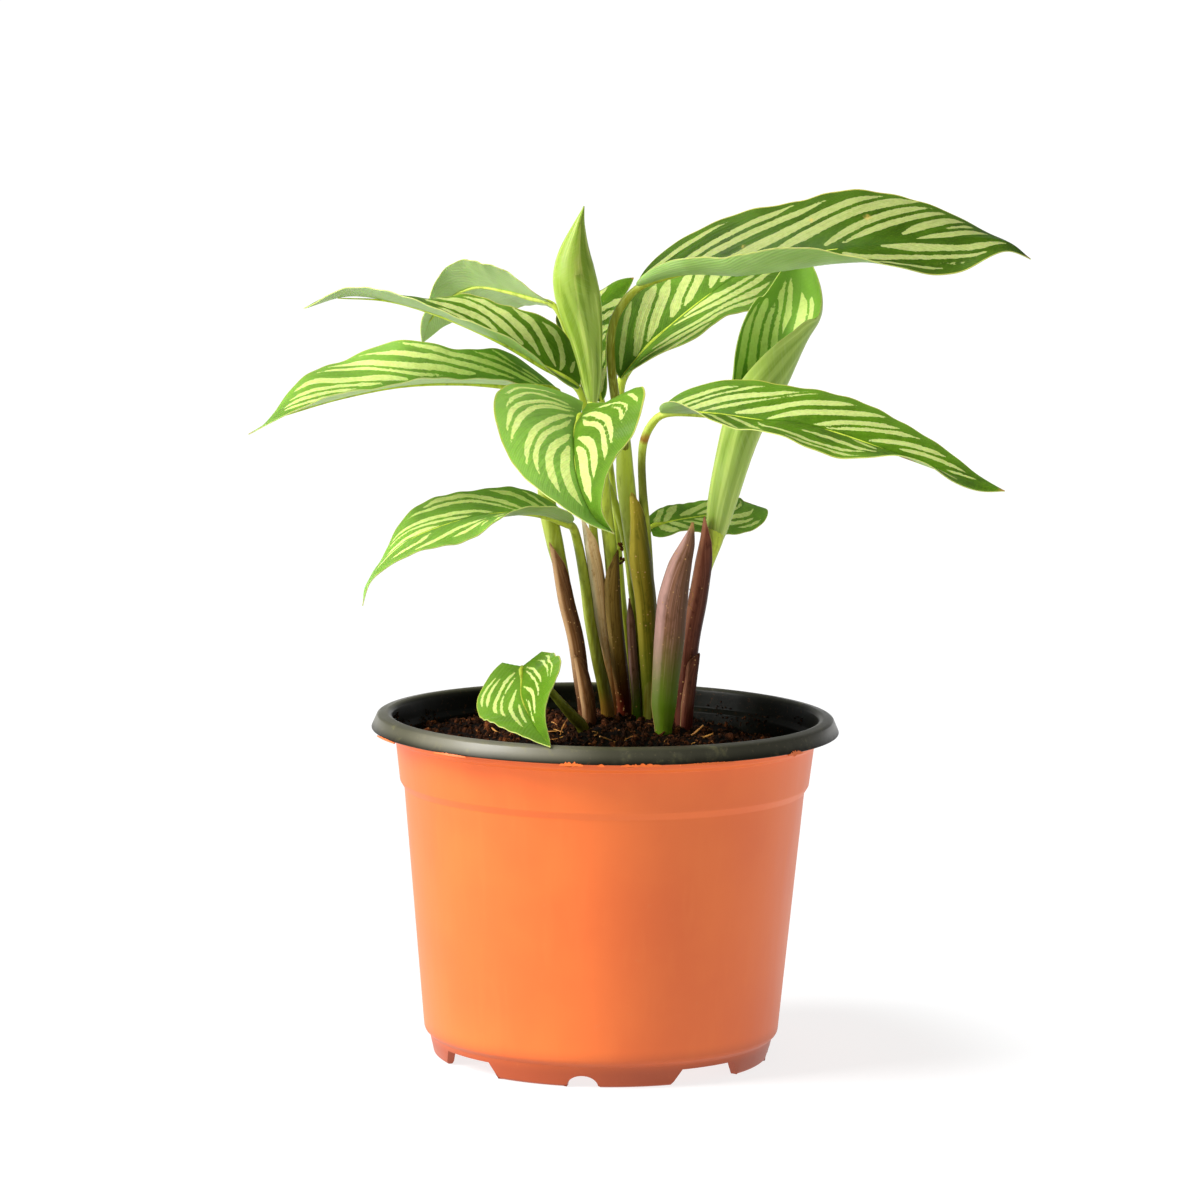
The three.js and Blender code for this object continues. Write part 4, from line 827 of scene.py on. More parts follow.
def upper_leaf_finish(settings):
    """Dark green with pale bars whose ragged edges follow the veins."""
    leaf = Finish("leaf_upper")
    along, across, vein = leaf.split(leaf.attribute("blade", "Vector"))
    young, seed, spot = leaf.split(leaf.attribute("leaf_age", "Vector"))
    bar = leaf.attribute("bar")
    tone = leaf.attribute("tone")
    out = across.abs()
    grain = leaf.noise(leaf.join(vein * 150, out * 9, seed * 31), 1.0, 3.0, 0.6)
    blotch = leaf.noise(leaf.place(), 90.0, 3.0, 0.55)
    ragged = leaf.noise(leaf.place(), 620.0, 3.0, 0.65)
    fine = leaf.noise(leaf.place(), 1500.0, 2.0, 0.6)
    edge = bar + (grain - 0.5) * 0.55 + (ragged - 0.5) * 0.95
    pale = edge.step(-0.06, 0.1)
    deep, fresh = ([c * share for c in settings.dark] for share in (0.75, 1.25))
    dark = leaf.mix(blotch.step(0.3, 0.7), deep, fresh)
    dark = leaf.coats(dark, (out.step(0.55, 1.0) * 0.4, "leaf_margin"),
                      ((bar.step(-2.2, -0.2) * ragged.step(0.4, 0.7)) * 0.3, "bar_fringe"),
                      (young * 0.6, "young_dark"), (fine.step(0.5, 0.8) * 0.3, "leaf_mottle"))
    light = leaf.mix(ragged.step(0.35, 0.7), settings.bar, tint("bar_dull"))
    light = leaf.mix(young * 0.5, light, tint("young_bar"))
    # tone is partly the leaf's own lightness and partly painted light and shade. Above 1 it washes the dark
    # green paler, and below it scales the whole colour.
    dark = leaf.mix((tone - 1) * 0.45, leaf.scale(dark, tone ** 0.5), tint("leaf_pale"))
    color = leaf.mix(pale, dark, light)
    fade = along.step(0.0, 0.08) * (1 - along.step(0.86, 0.97))
    lines = (vein * 62 + (grain - 0.5) * 0.2).fract() - 0.5
    line = 1 - lines.abs().step(0.0, 0.16)
    color = leaf.mix(line * fade * (1 - young * 0.8) * 0.18, color, tint("vein"))
    centre = (1 - out.step(0.008, 0.024)) * (1 - young)
    color = leaf.mix(centre * 0.6, color, tint("midrib"))
    color = leaf.scale(color, tone)
    color = leaf.coats(color, (out.step(0.975, 0.99) * (0.7 - young * 0.5), "leaf_rim"),
                       (along.step(0.975, 1.0) * 0.8, "leaf_tip"),
                       (spot * ragged.step(0.3, 0.5), "leaf_speck"))
    sheen = blotch * 0.14 + pale * 0.06 + 0.34
    height = leaf.bump((lines.abs() * 0.5 * (1 - young) + ragged * 0.5 + pale * 0.15) * fade, 0.0003, 0.5)
    return leaf.shade(Base_Color=color, Roughness=sheen, Normal=height, Specular_IOR_Level=0.1,
                      Subsurface_Weight=0.4, Subsurface_Scale=0.0005, Subsurface_Radius=(0.5, 1.0, 0.15))


def under_leaf_finish(settings):
    """Pale sage underside with faint side veins, the bars showing through and streaks on young leaves."""
    leaf = Finish("leaf_under")
    along, across, vein = leaf.split(leaf.attribute("blade", "Vector"))
    young, seed, _ = leaf.split(leaf.attribute("leaf_age", "Vector"))
    bar = leaf.attribute("bar")
    tone = leaf.attribute("tone")
    out = across.abs()
    blotch = leaf.noise(leaf.place(), 60.0, 2.0, 0.5)
    fine = leaf.noise(leaf.join(vein * 120, out * 6, seed * 17), 1.0, 2.0, 0.5)
    streak = leaf.noise(leaf.join(across * 7, along * 1.6, seed * 9), 1.0, 3.0, 0.55)
    color = leaf.mix(blotch.step(0.3, 0.7), settings.under, tint("under_light"))
    # tone is partly the underside's own lightness and partly painted light and shade. Above 1.1 it washes
    # the colour paler, and below it scales it.
    color = leaf.coats(color, (bar.step(-1.0, 1.0) * 0.22, "under_bar"), (tone - 1.1, "under_pale"))
    color = leaf.mix(young, color, settings.young)
    color = leaf.coats(color, (young * along.step(0.5, 0.85) * 0.4, "young_tip"),
                       (young * streak.step(0.48, 0.62) * 0.7, "young_streak"),
                       (young * streak.step(0.46, 0.34) * 0.65, "young_light"))
    fade = along.step(0.0, 0.08) * (1 - along.step(0.86, 0.97))
    lines = (vein * 46).fract() - 0.5
    line = 1 - lines.abs().step(0.0, 0.2)
    color = leaf.coats(color, (line * fade * (1 - young) * 0.22, "under_vein"),
                       (fine.step(0.45, 0.8) * 0.15, "under_grain"))
    color = leaf.scale(color, tone)
    color = leaf.coats(color, (out.step(0.975, 0.99) * (0.6 - young * 0.4), "under_rim"),
                       ((1 - out.step(0.03, 0.07)) * (1 - young) * 0.5, "under_midrib"))
    height = leaf.bump((lines.abs() * (1 - young) + fine * 0.4) * fade, 0.0003, 0.5)
    return leaf.shade(Base_Color=color, Roughness=blotch * 0.1 + 0.4, Normal=height,
                      Specular_IOR_Level=0.25, Subsurface_Weight=0.4, Subsurface_Scale=0.0005,
                      Subsurface_Radius=(0.5, 1.0, 0.15))


def stalk_finish(settings):
    """Green stalks, olive low down, with lengthwise streaks, scattered specks, a painted highlight on the
    side towards the light and painted shade on the far side.
    """
    stalk = Finish("stalk")
    along, warm, _ = stalk.split(stalk.attribute("stalk", "Vector"))
    place = stalk.place()
    streak = stalk.noise(stalk.stretch(place, (1.0, 1.0, 0.06)), 1400.0, 2.0, 0.5)
    cloud = stalk.noise(place, 70.0, 3.0, 0.5)
    dots = 1 - stalk.specks(place, 420.0).step(0.06, 0.16)
    lit = stalk.attribute("lit")
    dusk = stalk.noise(stalk.stretch(place, (1.0, 1.0, 0.25)), 380.0, 3.0, 0.6)
    low = 1 - stalk.split(place)[2].step(0.118, 0.16)
    color = stalk.mix(along.step(0.12, 0.62), settings.olive, settings.green)
    # lit paints a highlight on the side of each stalk towards the light and shade on its far side.
    color = stalk.coats(color, (streak.step(0.35, 0.7) * 0.4, "stalk_streak"),
                        (cloud.step(0.45, 0.75) * 0.3, "stalk_cloud"),
                        (lit.step(0.6, 1.0) * along.step(0.1, 0.5) * 0.65, "stalk_painted_highlight"),
                        ((0 - lit).step(-0.1, 0.9) * 0.55, "stalk_shade"), (warm * -1.0, "stalk_dull"),
                        (warm * cloud.step(0.25, 0.5), "stalk_warm"),
                        (dusk.step(0.48, 0.7) * 0.4, "stalk_dusk"),
                        (low * (cloud * 0.5 + 0.45), "stalk_foot"),
                        (dots * cloud.step(0.5, 0.6) * 0.5, "stalk_speck"))
    height = stalk.bump(streak, 0.0003, 0.5)
    return stalk.shade(Base_Color=color, Roughness=streak * 0.12 + 0.3, Normal=height,
                       Specular_IOR_Level=0.12)


def sheath_finish(look):
    """Papery sheath with fine lengthwise ribs, darker streaks, pale specks, a paler edge, a painted
    highlight on the side towards the light and painted shade on the far side.
    """
    first, pale, dark, foot = (display(*shade) for shade in SHEATH_LOOKS[look])
    sheath = Finish("sheath_" + look)
    along, around, edge = sheath.split(sheath.attribute("sheet", "Vector"))
    place = sheath.place()
    ribs = sheath.noise(sheath.join(around * 46, along * 1.8, 0.0), 1.0, 3.0, 0.6)
    grain = sheath.noise(sheath.join(around * 110, along * 5, 0.0), 1.0, 2.0, 0.5)
    cloud = sheath.noise(place, 80.0, 3.0, 0.5)
    dots = 1 - sheath.specks(place, 520.0).step(0.08, 0.2)
    color = sheath.mix(ribs.step(0.2, 0.6), dark, first)
    color = sheath.mix(ribs.step(0.5, 0.85) * 0.35, color, pale)
    color = sheath.mix(grain.step(0.45, 0.8) * 0.3, color, pale)
    lit = sheath.attribute("lit")
    blotch = sheath.noise(sheath.stretch(place, (1.0, 1.0, 0.4)), 420.0, 3.0, 0.65)
    color = sheath.mix(blotch.step(0.5, 0.7) * 0.6, color, dark)
    # A painted highlight on the side towards the light, and painted shade on the far side.
    color = sheath.mix(lit.step(0.78, 1.0) * (0.9 - blotch * 0.4), color, pale)
    color = sheath.mix((0 - lit).step(-0.4, 0.4) * 0.9, color, dark)
    color = sheath.mix((1 - along.step(0.2, 0.58)) * (cloud * 0.5 + 0.7), color, foot)
    if look == "pink":
        color = sheath.mix(along.step(0.95, 0.99) * 0.8, color, tint("bud_tip"))
    color = sheath.coats(color, (dots * cloud.step(0.4, 0.55) * 0.9, "sheath_speck"),
                         (edge * 0.6, "sheath_edge"))
    height = sheath.bump(ribs * 0.5 + grain * 0.5, 0.00025, 0.6)
    return sheath.shade(Base_Color=color, Roughness=grain * 0.2 + blotch * 0.1 + 0.3, Normal=height,
                        Specular_IOR_Level=0.1)


def pot_outer_finish(settings):
    """Satin orange plastic with faint streaks from the mould and small scuffs, and painted shade that
    darkens the feet near the floor.
    """
    pot = Finish("terracotta_plastic")
    place = pot.place()
    cloud = pot.noise(place, 26.0, 3.0, 0.5)
    streak = pot.noise(pot.stretch(place, (1.0, 1.0, 0.12)), 160.0, 3.0, 0.6)
    fine = pot.noise(place, 1600.0, 2.0, 0.5)
    # Painted shade: the lowest part of the pot, at the feet, is darkened near the floor.
    low = 1 - pot.split(place)[2].step(0.004, 0.014)
    dust = pot.noise(place, 240.0, 3.0, 0.6).step(0.66, 0.8)
    color = pot.mix(cloud.step(0.3, 0.7), settings.outer, tint("pot_cloud"))
    color = pot.coats(color, (streak.step(0.5, 0.8) * 0.2, "pot_streak"), (low * 0.75, "pot_foot_painted_shade"),
                      (dust * 0.12, "pot_dust"))
    height = pot.bump(cloud * 0.5 + streak * 0.2 + fine * 0.05, 0.0006, 0.35)
    return pot.shade(Base_Color=color, Roughness=streak * 0.12 + dust * 0.1 + 0.36, Normal=height,
                     Specular_IOR_Level=0.5)


def pot_lining_finish(settings):
    """Satin black plastic with dusty film, greenish scuffs and soil smears inside. The inside is kept near
    black as painted shade, the rim is painted paler, partly as dust and partly as painted light from the
    left, and a painted sheen lies on its front left.
    """
    pot = Finish("black_plastic")
    place = pot.place()
    cloud = pot.noise(place, 45.0, 3.0, 0.5)
    fine = pot.noise(place, 1500.0, 2.0, 0.5)
    film = pot.noise(place, 160.0, 4.0, 0.65)
    right, deep, height_up = pot.split(place)
    aside = right - POT_AXIS_X
    reach = (aside * aside + deep * deep) ** 0.5
    # The near-black lining colour stands in for the shade inside the pot. The rim is painted paler, most on
    # the left, partly as dust and partly as painted light, and sheen paints a highlight on its front left.
    rim = height_up.step(0.1155, 0.1195) * reach.step(0.0748, 0.0764)
    sheen = ((aside * -0.5 - deep * 0.87) / reach).step(0.86, 1.0)
    left = (0 - right).step(-0.03, 0.06)
    dust = film.step(0.58, 0.7) * cloud.step(0.45, 0.6)
    grit = pot.noise(place, 620.0, 3.0, 0.7).step(0.6, 0.7)
    color = pot.mix(cloud.step(0.3, 0.75) * 0.5, settings.lining, tint("lining_cloud"))
    color = pot.coats(color, (rim * (cloud * 0.3 + left * 0.4 + 0.25), "rim_body"),
                      (film.step(0.5, 0.78) * (rim * 0.2 + 0.05), "rim_film"),
                      (rim * sheen * (cloud * 0.5 + 0.15), "rim_sheen"), (dust * rim * 0.5, "rim_dust"),
                      (grit * (1 - rim) * height_up.step(0.104, 0.112) * 0.6, "lining_soil"),
                      (grit * rim * 0.25, "rim_grit"))
    height = pot.bump(fine * 0.15 + film * 0.3, 0.0003, 0.5)
    return pot.shade(Base_Color=color, Roughness=film * 0.2 + cloud * 0.1 + 0.2, Normal=height,
                     Coat_Weight=rim * 0.5, Coat_Roughness=0.34, Specular_IOR_Level=0.04)


def soil_finish(name, shade, light):
    """Dark crumbly potting mix with brown bits."""
    soil = Finish(name)
    place = soil.place()
    lump = soil.noise(place, 420.0, 4.0, 0.65)
    bits = soil.noise(place, 1100.0, 3.0, 0.6)
    color = soil.mix(lump.step(0.35, 0.7), [c * 0.35 for c in shade], shade)
    chunk = soil.noise(place, 190.0, 3.0, 0.6).step(0.48, 0.66)
    color = soil.scale(color, chunk * 0.9 + 0.35)
    color = soil.mix(bits.step(0.55, 0.75) * (chunk * 0.7 + 0.15), color, light)
    height = soil.bump(lump + bits * 0.5, 0.0015, 0.9)
    return soil.shade(Base_Color=color, Roughness=bits * 0.2 + 0.72, Normal=height, Specular_IOR_Level=0.1)


def fibre_finish():
    """Pale brown fibre."""
    fibre = Finish("soil_fibre")
    streak = fibre.noise(fibre.place(), 500.0, 2.0, 0.5)
    color = fibre.mix(streak.step(0.3, 0.7), tint("fibre_dark"), tint("fibre_light"))
    return fibre.shade(Base_Color=color, Roughness=streak * 0.2 + 0.5)


def floor_finish():
    """Pale glowing floor whose shadow is painted out away from the pot, where it turns white, and the white
    backdrop that rises from its edge.
    """
    floor = Finish("pale_floor")
    tone = floor.noise(floor.place(), 3.0, 2.0, 0.5)
    aside, deep, height_up = floor.split(floor.place())
    raised = height_up.step(0.1, 1.5)
    # Painted light: away from the pot the floor takes almost no light and glows brighter, so the cast
    # shadow fades out.
    shadow_painted_out = ((aside * aside + deep * deep) ** 0.5).step(*SHADOW_FADE) * (1 - raised)
    color = floor.mix(tone, [FLOOR_GREY] * 3, [FLOOR_GREY_PALE] * 3)
    color = floor.mix(shadow_painted_out, color, [FLOOR_GREY_FAR] * 3)
    glow = floor.mix(raised.at_least(shadow_painted_out), [FLOOR_GLOW] * 3, [BACKDROP_GLOW] * 3)
    return floor.shade(Base_Color=color, Roughness=0.9, Specular_IOR_Level=0.0, Emission_Color=glow,
                       Emission_Strength=0.8)


def station(values, share):
    """The value that a list of evenly spaced stations has at each share, joined smoothly."""
    if len(values) == 1:
        return np.full(share.shape, float(values[0]))
    held = np.array(values, float)
    place = (len(values) - 1) * share
    i = np.minimum(place.astype(int), len(values) - 2)
    t = place - i
    before = held[np.maximum(i - 1, 0)]
    after = held[np.minimum(i + 2, len(values) - 1)]
    slope_in = (held[i + 1] - before) / 2
    slope_out = (after - held[i]) / 2
    cubic = 2 * held[i] - 2 * held[i + 1] + slope_in + slope_out
    square = -3 * held[i] + 3 * held[i + 1] - 2 * slope_in - slope_out
    return ((cubic * t + square) * t + slope_in) * t + held[i]


def dense_path(points):
    """Closely spaced points of a smooth curve through all rows, whatever they hold after x, y, z."""
    rows = np.array(points, float)
    held = np.vstack([2 * rows[0] - rows[1], rows, 2 * rows[-1] - rows[-2]])
    held[0, 3:] = rows[0, 3:]
    held[-1, 3:] = rows[-1, 3:]
    out = []
    share = np.linspace(0, 1, 40, endpoint=False)[:, None]
    for i in range(len(rows) - 1):
        p0, p1, p2, p3 = held[i:i + 4]
        s1, s2, s3 = np.maximum(np.sum(np.diff(held[i:i + 4, :3], axis=0) ** 2, axis=1) ** 0.25, 1e-6)
        slope1 = ((p1 - p0) / s1 - (p2 - p0) / (s1 + s2) + (p2 - p1) / s2) * s2
        slope2 = ((p2 - p1) / s2 - (p3 - p1) / (s2 + s3) + (p3 - p2) / s3) * s2
        curve = p1 + slope1 * share + (-3 * p1 + 3 * p2 - 2 * slope1 - slope2) * share ** 2
        curve += (2 * p1 - 2 * p2 + slope1 + slope2) * share ** 3
        curve[:, 3:] = p1[3:] + (p2[3:] - p1[3:]) * share
        out.append(curve)
    return np.vstack(out + [rows[-1:]])


def path_at(points, share):
    """Points of the smooth curve at shares of its length."""
    dense = dense_path(points)
    steps = np.linalg.norm(np.diff(dense[:, :3], axis=0), axis=1)
    run = np.concatenate([[0], np.cumsum(steps)])
    columns = [np.interp(share * run[-1], run, dense[:, k]) for k in range(dense.shape[1])]
    return np.stack(columns, axis=1), run[-1]


def unit(rows):
    return rows / np.maximum(np.linalg.norm(rows, axis=-1, keepdims=True), 1e-9)


def midrib_frames(blade, share):
    """Points, tangents, upper-side normals and sideways directions along a midrib, and its length."""
    points, length = path_at(blade["midrib"], share)
    along = unit(np.gradient(points, axis=0))
    faces = blade["face"]
    up = np.stack([station([face[k] for face in faces], share) for k in range(3)], axis=1)
    up = unit(up - along * np.sum(up * along, axis=1, keepdims=True))
    return points, along, up, np.cross(along, up), length


def outline(blade, share):
    """Share of the blade's greatest width at each share of its length."""
    widest = blade["widest"]
    start = blade.get("start", 0.04)
    base = np.sqrt(np.maximum(1 - (1 - start * start) * (1 - np.minimum(share / widest, 1)) ** 2, 0))
    t = np.clip((share - widest) / (1 - widest), 0, 1)
    return np.where(share < widest, base, np.maximum(1 - t * t, 0) ** blade["taper"])


def bar_curve(bar):
    """Half width of a pale bar in millimetres, and its middle line as shares along and across a half."""
    if isinstance(bar[1], tuple):
        wide, spots = bar[0], bar[1:]
    else:
        wide, (start, end) = BAR_HALF_WIDTH, bar
        spots = [(start, 0.07), ((start + end) / 2 - BAR_BEND * (end - start), 0.48), (end, 0.9)]
    rows = [[BAR_METRIC * u, v, 0] for u, v in spots]
    line, _ = path_at(rows, np.linspace(0, 1, BAR_STEPS))
    return wide, line[:, 0] / BAR_METRIC, line[:, 1]


def bar_field(bars, split, share, across, width, length):
    """How deep in millimetres a place lies inside the nearest pale bar. Outside the bars it's negative."""
    best = np.full(share.shape, -BAR_DEEPEST)
    second = best
    run = np.linspace(0, 1, BAR_STEPS)
    taper = np.minimum(1, 0.4 + 3 * run) * np.minimum(1, 4 * (1 - run) + 0.2)
    for bar in bars:
        wide, line_u, line_v = bar_curve(bar)
        along = (share[..., None] - line_u) * length
        away = (across[..., None] - line_v) * width[..., None]
        gap = np.hypot(along, away)
        nearest = np.argmin(gap, axis=-1)
        depth = wide * taper[nearest] - np.take_along_axis(gap, nearest[..., None], axis=-1)[..., 0]
        second = np.maximum(second, np.minimum(best, depth))
        best = np.maximum(best, depth)
    return np.clip(np.minimum(best, (best - second - split) / 2), -BAR_DEEPEST, BAR_DEEPEST)


def grid_normals(grid):
    """The way that a grid of points faces at each of them."""
    return unit(np.cross(np.gradient(grid, axis=1), np.gradient(grid, axis=0)))


def sheet_faces(rows, columns):
    """Faces of a closed thin sheet of two equal grids: the first side, the second side and the rim."""
    wide = columns + 1
    under = (rows + 1) * wide
    index = np.arange(under).reshape(rows + 1, wide)
    a, b = index[:-1, :-1].ravel(), index[1:, :-1].ravel()
    c, d = index[1:, 1:].ravel(), index[:-1, 1:].ravel()
    first = np.stack([a, d, c, b], axis=1)
    second = np.stack([a, b, c, d], axis=1) + under
    edge = np.concatenate([index[0], index[1:, -1], index[-1, -2::-1], index[-2:0:-1, 0]])
    ahead = np.roll(edge, -1)
    return first, second, np.stack([edge, edge + under, ahead + under, ahead], axis=1)


def twice(values):
    """The same values for both sides of a thin sheet, one row for each point."""
    flat = values.reshape(-1, 3) if values.ndim == 3 else values.ravel()
    return np.concatenate([flat, flat])


def blade_column(blade, number, vein_height, share, shape, k, v):
    """Reach, height and backward shift of a line of points along half k, its width and its vein number."""
    rolled = blade.get("rolled", False)
    lively = 4 * share * (1 - share)
    width = np.maximum(blade["half"][k] * shape * station(blade["swell"][k], share), LEAST_WIDTH)
    fold = np.radians(station(blade["fold"][k], share))
    bend = np.radians(station(blade["curl"][k], share))
    bend = np.where(np.abs(bend) < LEAST_BEND, LEAST_BEND, bend)
    out = width / bend * (np.sin(fold + bend * v) - np.sin(fold))
    rise = width / bend * (np.cos(fold) - np.cos(fold + bend * v))
    height, count, phase = blade["wave"]
    ripple = height * v * v * np.sin(2 * np.pi * (count * share + phase + k / 3)) * lively
    if not rolled:
        turns = MARGIN_RIPPLES * share + MARGIN_RIPPLE_PHASE * number + k / 2
        ripple += MARGIN_RIPPLE_HEIGHT * v ** 3 * np.sin(2 * np.pi * turns) * lively
    back = blade.get("lobe", 0) * np.maximum(0, 1 - share / LOBE_SHARE) ** 2 * v ** 1.3
    lean = ROLLED_VEIN_LEAN if rolled else SIDE_VEIN_LEAN
    vein = share - lean * shape * v * (0.75 + 0.25 * v)
    quilt = vein_height * (1 - 0.8 * blade.get("young", 0)) * np.cos(2 * np.pi * QUILT_FOLDS * vein)
    quilt = quilt * np.sin(np.pi * v) ** 0.7
    groove = 0 if rolled else -GROOVE_DEPTH * math.exp(-(v * GROOVE_SHARPNESS) ** 2)
    return out, rise + ripple + (quilt + groove) * shape, back, width, vein


def blade_shell(shell, blade, number, settings):
    """One blade as a closed thin shell: the upper side, the underside and the rim between them."""
    rows, columns = settings.rows, settings.columns
    vein_height = settings.vein_height / MM
    even = np.linspace(0, 1, rows + 1)
    share = even if blade.get("rolled") else BASE_CROWDING * even ** 2 + (1 - BASE_CROWDING) * even
    points, along, up, side, length = midrib_frames(blade, share)
    shape = outline(blade, share)
    grid = np.zeros((rows + 1, 2 * columns + 1, 3))
    values = np.zeros(grid.shape)
    widths = np.zeros(grid.shape[:2])
    for j in range(-columns, columns + 1):
        half = 0 if j < 0 else 1
        v = abs(j) / columns
        v = v * (1.15 - 0.15 * v)
        out, rise, back, width, vein = blade_column(blade, number, vein_height, share, shape, half, v)
        row = j + columns
        grid[:, row] = points + side * (np.sign(j) * out)[:, None]
        grid[:, row] += up * rise[:, None] - along * back[:, None]
        values[:, row] = np.stack([share, np.full(rows + 1, np.sign(j) * v), vein], axis=1)
        widths[:, row] = width
    bars = np.full(widths.shape, -BAR_DEEPEST)
    split = blade.get("split", BAR_SPLIT)
    for k, held in enumerate((slice(0, columns), slice(columns + 1, None))):
        places = values[:, held, 0], np.abs(values[:, held, 1]), widths[:, held]
        bars[:, held] = bar_field(blade["bars"][k], split, *places, length)
    spot = np.zeros(widths.shape)
    for u, v, radius in blade.get("spots", []):
        reach = blade["half"][0 if v < 0 else 1]
        gap = np.hypot((values[..., 0] - u) * length, (values[..., 1] - v) * reach)
        spot = np.maximum(spot, np.clip((radius - gap) / 0.8, 0, 1))
    age = np.zeros(grid.shape)
    age[..., 0] = blade.get("young", 0)
    age[..., 1] = number * 0.17
    age[..., 2] = spot
    # tone: each half's own lightness, together with its painted light and shade.
    upper, under, *second = blade["tone"]
    tone = np.where(values[..., 1] > 0, second[0] if second else upper, upper)
    shift = grid_normals(grid) * (settings.thickness / MM / 2)
    top, bottom, rim = sheet_faces(rows, 2 * columns)
    finishes = np.concatenate([np.zeros(len(top)), np.ones(len(bottom) + len(rim))])
    spots = np.concatenate([(grid + shift).reshape(-1, 3), (grid - shift).reshape(-1, 3)])
    shell.add(spots, np.concatenate([top, bottom, rim]), finishes,
              {"blade": twice(values), "leaf_age": twice(age), "bar": twice(bars),
               "tone": np.concatenate([tone.ravel(), np.full(tone.size, under)])})


class Shell:
    """Gathers one piece's points and faces, in millimetres from the pot's axis, and makes its mesh."""

    def __init__(self, vectors=(), numbers=()):
        self.points = []
        self.faces = []
        self.finishes = []
        self.values = {name: [] for name in (*vectors, *numbers)}
        self.vectors = vectors
        self.count = 0

    def add(self, points, faces, finishes, values=None):
        self.points.append(points)
        rows = faces if isinstance(faces, list) else faces.tolist()
        self.faces.extend([corner + self.count for corner in face] for face in rows)
        if np.isscalar(finishes):
            finishes = [finishes] * len(faces)
        self.finishes.extend(int(number) for number in finishes)
        for name, held in self.values.items():
            given = (values or {}).get(name)
            if given is None:
                given = np.zeros((len(points), 3)) if name in self.vectors else np.zeros(len(points))
            held.append(given)
        self.count += len(points)

    def finish(self, name, materials, sharp_deg=50):
        points = np.concatenate(self.points) * MM
        points[:, 0] += POT_AXIS_X
        mesh = bpy.data.meshes.new(name)
        mesh.from_pydata(points.tolist(), [], self.faces)
        for material in materials:
            mesh.materials.append(material)
        mesh.polygons.foreach_set("material_index", self.finishes)
        mesh.polygons.foreach_set("use_smooth", [True] * len(self.faces))
        for key, held in self.values.items():
            flat = np.concatenate(held).astype(np.float32).ravel()
            kind, field = ("FLOAT_VECTOR", "vector") if key in self.vectors else ("FLOAT", "value")
            mesh.attributes.new(key, kind, "POINT").data.foreach_set(field, flat)
        mesh.update()
        mesh.set_sharp_from_angle(angle=math.radians(sharp_deg))
        return add_piece(name, mesh)


def add_piece(name, data):
    piece = bpy.data.objects.new(name, data)
    bpy.context.scene.collection.objects.link(piece)
    return piece


def dress(piece, slot, *nodes):
    """The piece rides on the plant's one body and stands for its CAD nodes, which it hides. The slot is not
    used.
    """
    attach(piece, BODY)
    if nodes:
        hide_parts(*nodes)


class Tree(Nodes):
    """A Geometry Nodes tree under construction."""

    def __init__(self, name, sizes):
        self.tree = bpy.data.node_groups.new(name, "GeometryNodeTree")
        self.tree.interface.new_socket("Geometry", in_out="INPUT", socket_type="NodeSocketGeometry")
        for label, kind in sizes.items():
            self.tree.interface.new_socket(label, in_out="INPUT", socket_type="NodeSocket" + kind)
        self.tree.interface.new_socket("Geometry", in_out="OUTPUT", socket_type="NodeSocketGeometry")
        self.start = self.tree.nodes.new("NodeGroupInput")

    def input(self, name):
        return self.start.outputs[name]

    def given(self, socket):
        return socket

    def scatter(self):
        """Random places on the faces of the given mesh."""
        return self.node("GeometryNodeDistributePointsOnFaces", {"distribute_method": "RANDOM"},
                         {"Mesh": self.input("Geometry"), "Density": self.input("Density"),
                          "Seed": self.input("Seed")})

    def close(self, geometry, material):
        """Ends the tree with plain geometry in one material."""
        whole = self.node("GeometryNodeRealizeInstances", values={"Geometry": geometry})
        painted = self.node("GeometryNodeSetMaterial", values={"Geometry": whole, "Material": material})
        output = self.tree.nodes.new("NodeGroupOutput")
        self.tree.links.new(painted, output.inputs["Geometry"])

    def grow(self, mesh, sizes):
        """Runs the tree on a mesh with the given sizes and returns the plain mesh that it makes."""
        holder = bpy.data.objects.new("holder", mesh)
        bpy.context.scene.collection.objects.link(holder)
        modifier = holder.modifiers.new("grow", "NODES")
        modifier.node_group = self.tree
        for item in self.tree.interface.items_tree:
            if item.in_out == "INPUT" and item.name in sizes:
                modifier[item.identifier] = sizes[item.name]
        bpy.context.view_layer.update()
        deps = bpy.context.evaluated_depsgraph_get()
        made = bpy.data.meshes.new_from_object(holder.evaluated_get(deps), preserve_all_data_layers=True,
                                               depsgraph=deps)
        holder.modifiers.clear()
        bpy.data.objects.remove(holder)
        return made


def tube_tree(material):
    """A round tube along a line of points, as thick as each point's own radius says."""
    tree = Tree("StalkTube", {"Spacing": "Float", "Sides": "Int"})
    line = tree.node("GeometryNodeMeshToCurve", values={"Mesh": tree.input("Geometry")})
    line = tree.node("GeometryNodeResampleCurve", {"mode": "LENGTH"},
                     {"Curve": line, "Length": tree.input("Spacing")})
    run = tree.node("GeometryNodeSplineParameter", output="Factor")
    line = tree.node("GeometryNodeStoreNamedAttribute", {"data_type": "FLOAT", "domain": "POINT"},
                     {"Geometry": line, "Name": "run", "Value": run})
    radius = tree.node("GeometryNodeInputNamedAttribute", {"data_type": "FLOAT"}, {"Name": "thick"})
    ring = tree.node("GeometryNodeCurvePrimitiveCircle",
                     values={"Resolution": tree.input("Sides"), "Radius": 1.0})
    tube = tree.node("GeometryNodeCurveToMesh",
                     values={"Curve": line, "Profile Curve": ring, "Scale": radius, "Fill Caps": True})
    tree.close(tube, material)
    return tree


